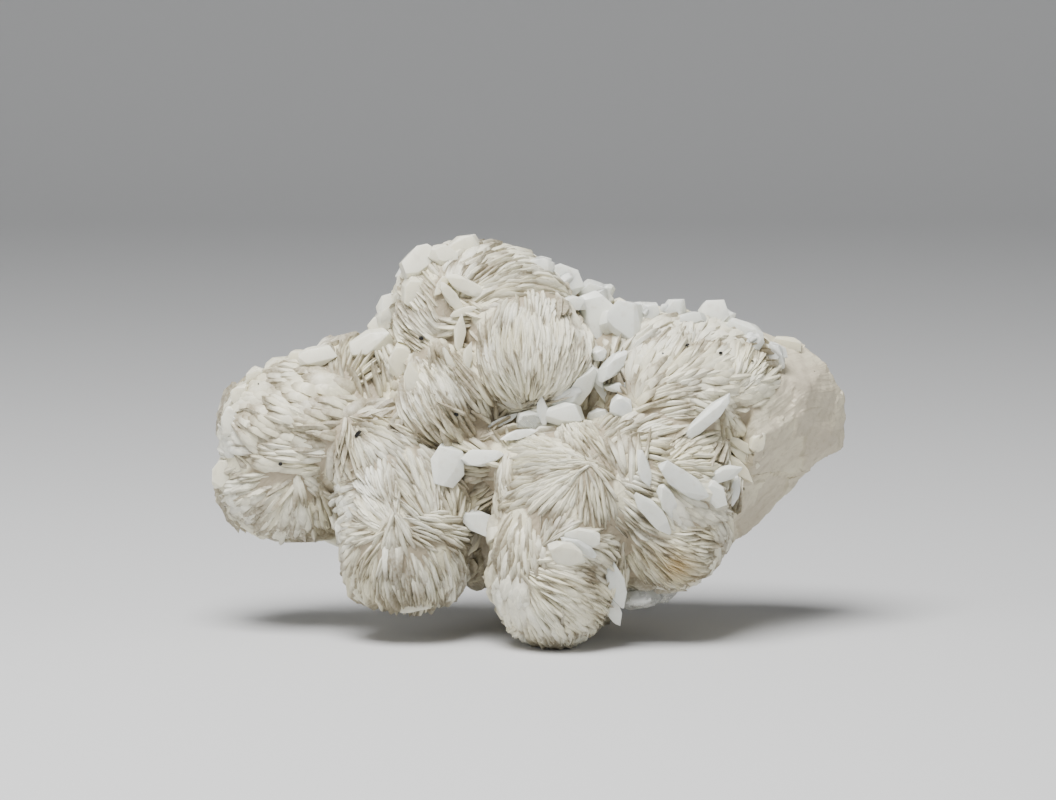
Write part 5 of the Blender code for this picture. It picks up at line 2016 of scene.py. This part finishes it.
def held_in(mass: Mass, seats: Seats, blades: Surface, limit: float = 2.6) -> tuple[Seats, Surface]:
    """Leave out blades that would stand too far out of the mass.

    Args:
        mass: The grown mass.
        seats: Where the blades stand.
        blades: The blades.
        limit: How far out a corner may be, in millimetres.

    Returns:
        The seats and blades that stay.
    """
    out = mass.distance(blades.corners.reshape(-1, 3)).reshape(blades.corners.shape[:2])
    kept = out.max(axis=1) < limit
    marks = {name: values[kept] for name, values in blades.marks.items()}
    return seats.only(kept), Surface(blades.corners[kept], blades.triangles, marks)


BLADE_PIECES = {
    "rosettes_far_left": ("far_left", "low_left", "saddle"),
    "rosettes_left": ("shoulder", "left_foot", "left_toe"),
    "rosettes_top": ("crown", "crown_left", "ridge"),
    "rosettes_middle": ("centre", "upper_left", "heart", "pit_wall"),
    "rosettes_front": ("front", "front_top"),
    "rosettes_right": ("right", "right_low", "right_top"),
    "broken_plates": ("",),
}


def main() -> None:
    """Build the cluster's looks in order."""
    logging.basicConfig(level=logging.INFO, format="%(name)s: %(message)s")
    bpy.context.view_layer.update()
    Studio().build()
    palette = Palette()
    effects = Effects(crevice_effect(), streak_effect(), speck_effect())
    growth = Growth()
    rock = Rock(growth.mass).build()
    seats = growth.seats()
    LOG.info("%d blades in %d sheaves", len(seats.point), len(growth.bundles))
    seats = merged([seats, Slabs().seats(rock, growth)])
    blades = BladeMesh().build(seats, growth)
    seats, blades = held_in(growth.mass, seats, blades)
    blade_material = BladeFinish(palette, effects).material()
    lobe_of = np.array([bundle.lobe for bundle in growth.bundles])[seats.bundle]
    for name, lobes in BLADE_PIECES.items():
        place_piece(blades.flat(np.isin(lobe_of, lobes)).piece(name, BLADE_SHARP), blade_material)
    place_piece(rock.piece("massive_barite", ROCK_SHARP), RockFinish(palette, effects).material())
    crystals = CrystalMesh(growth.mass)
    milky = CrystalFinish(palette).material()
    clear = ClearFinish(palette).material()
    grain = GrainFinish(palette).material()
    place_piece(crystals.build(PLATES).piece("single_plates", CRYSTAL_SHARP), milky)
    place_piece(crystals.build(BLOCKS, HIDDEN_BLOCKS).piece("blocky_crystals", CRYSTAL_SHARP), milky)
    place_piece(crystals.build(CLEAR_CRYSTALS).piece("clear_crystals", CRYSTAL_SHARP), clear)
    place_piece(crystals.build(DARK_GRAINS).piece("dark_grains", CRYSTAL_SHARP), grain)


if __name__ == "__main__":
    main()
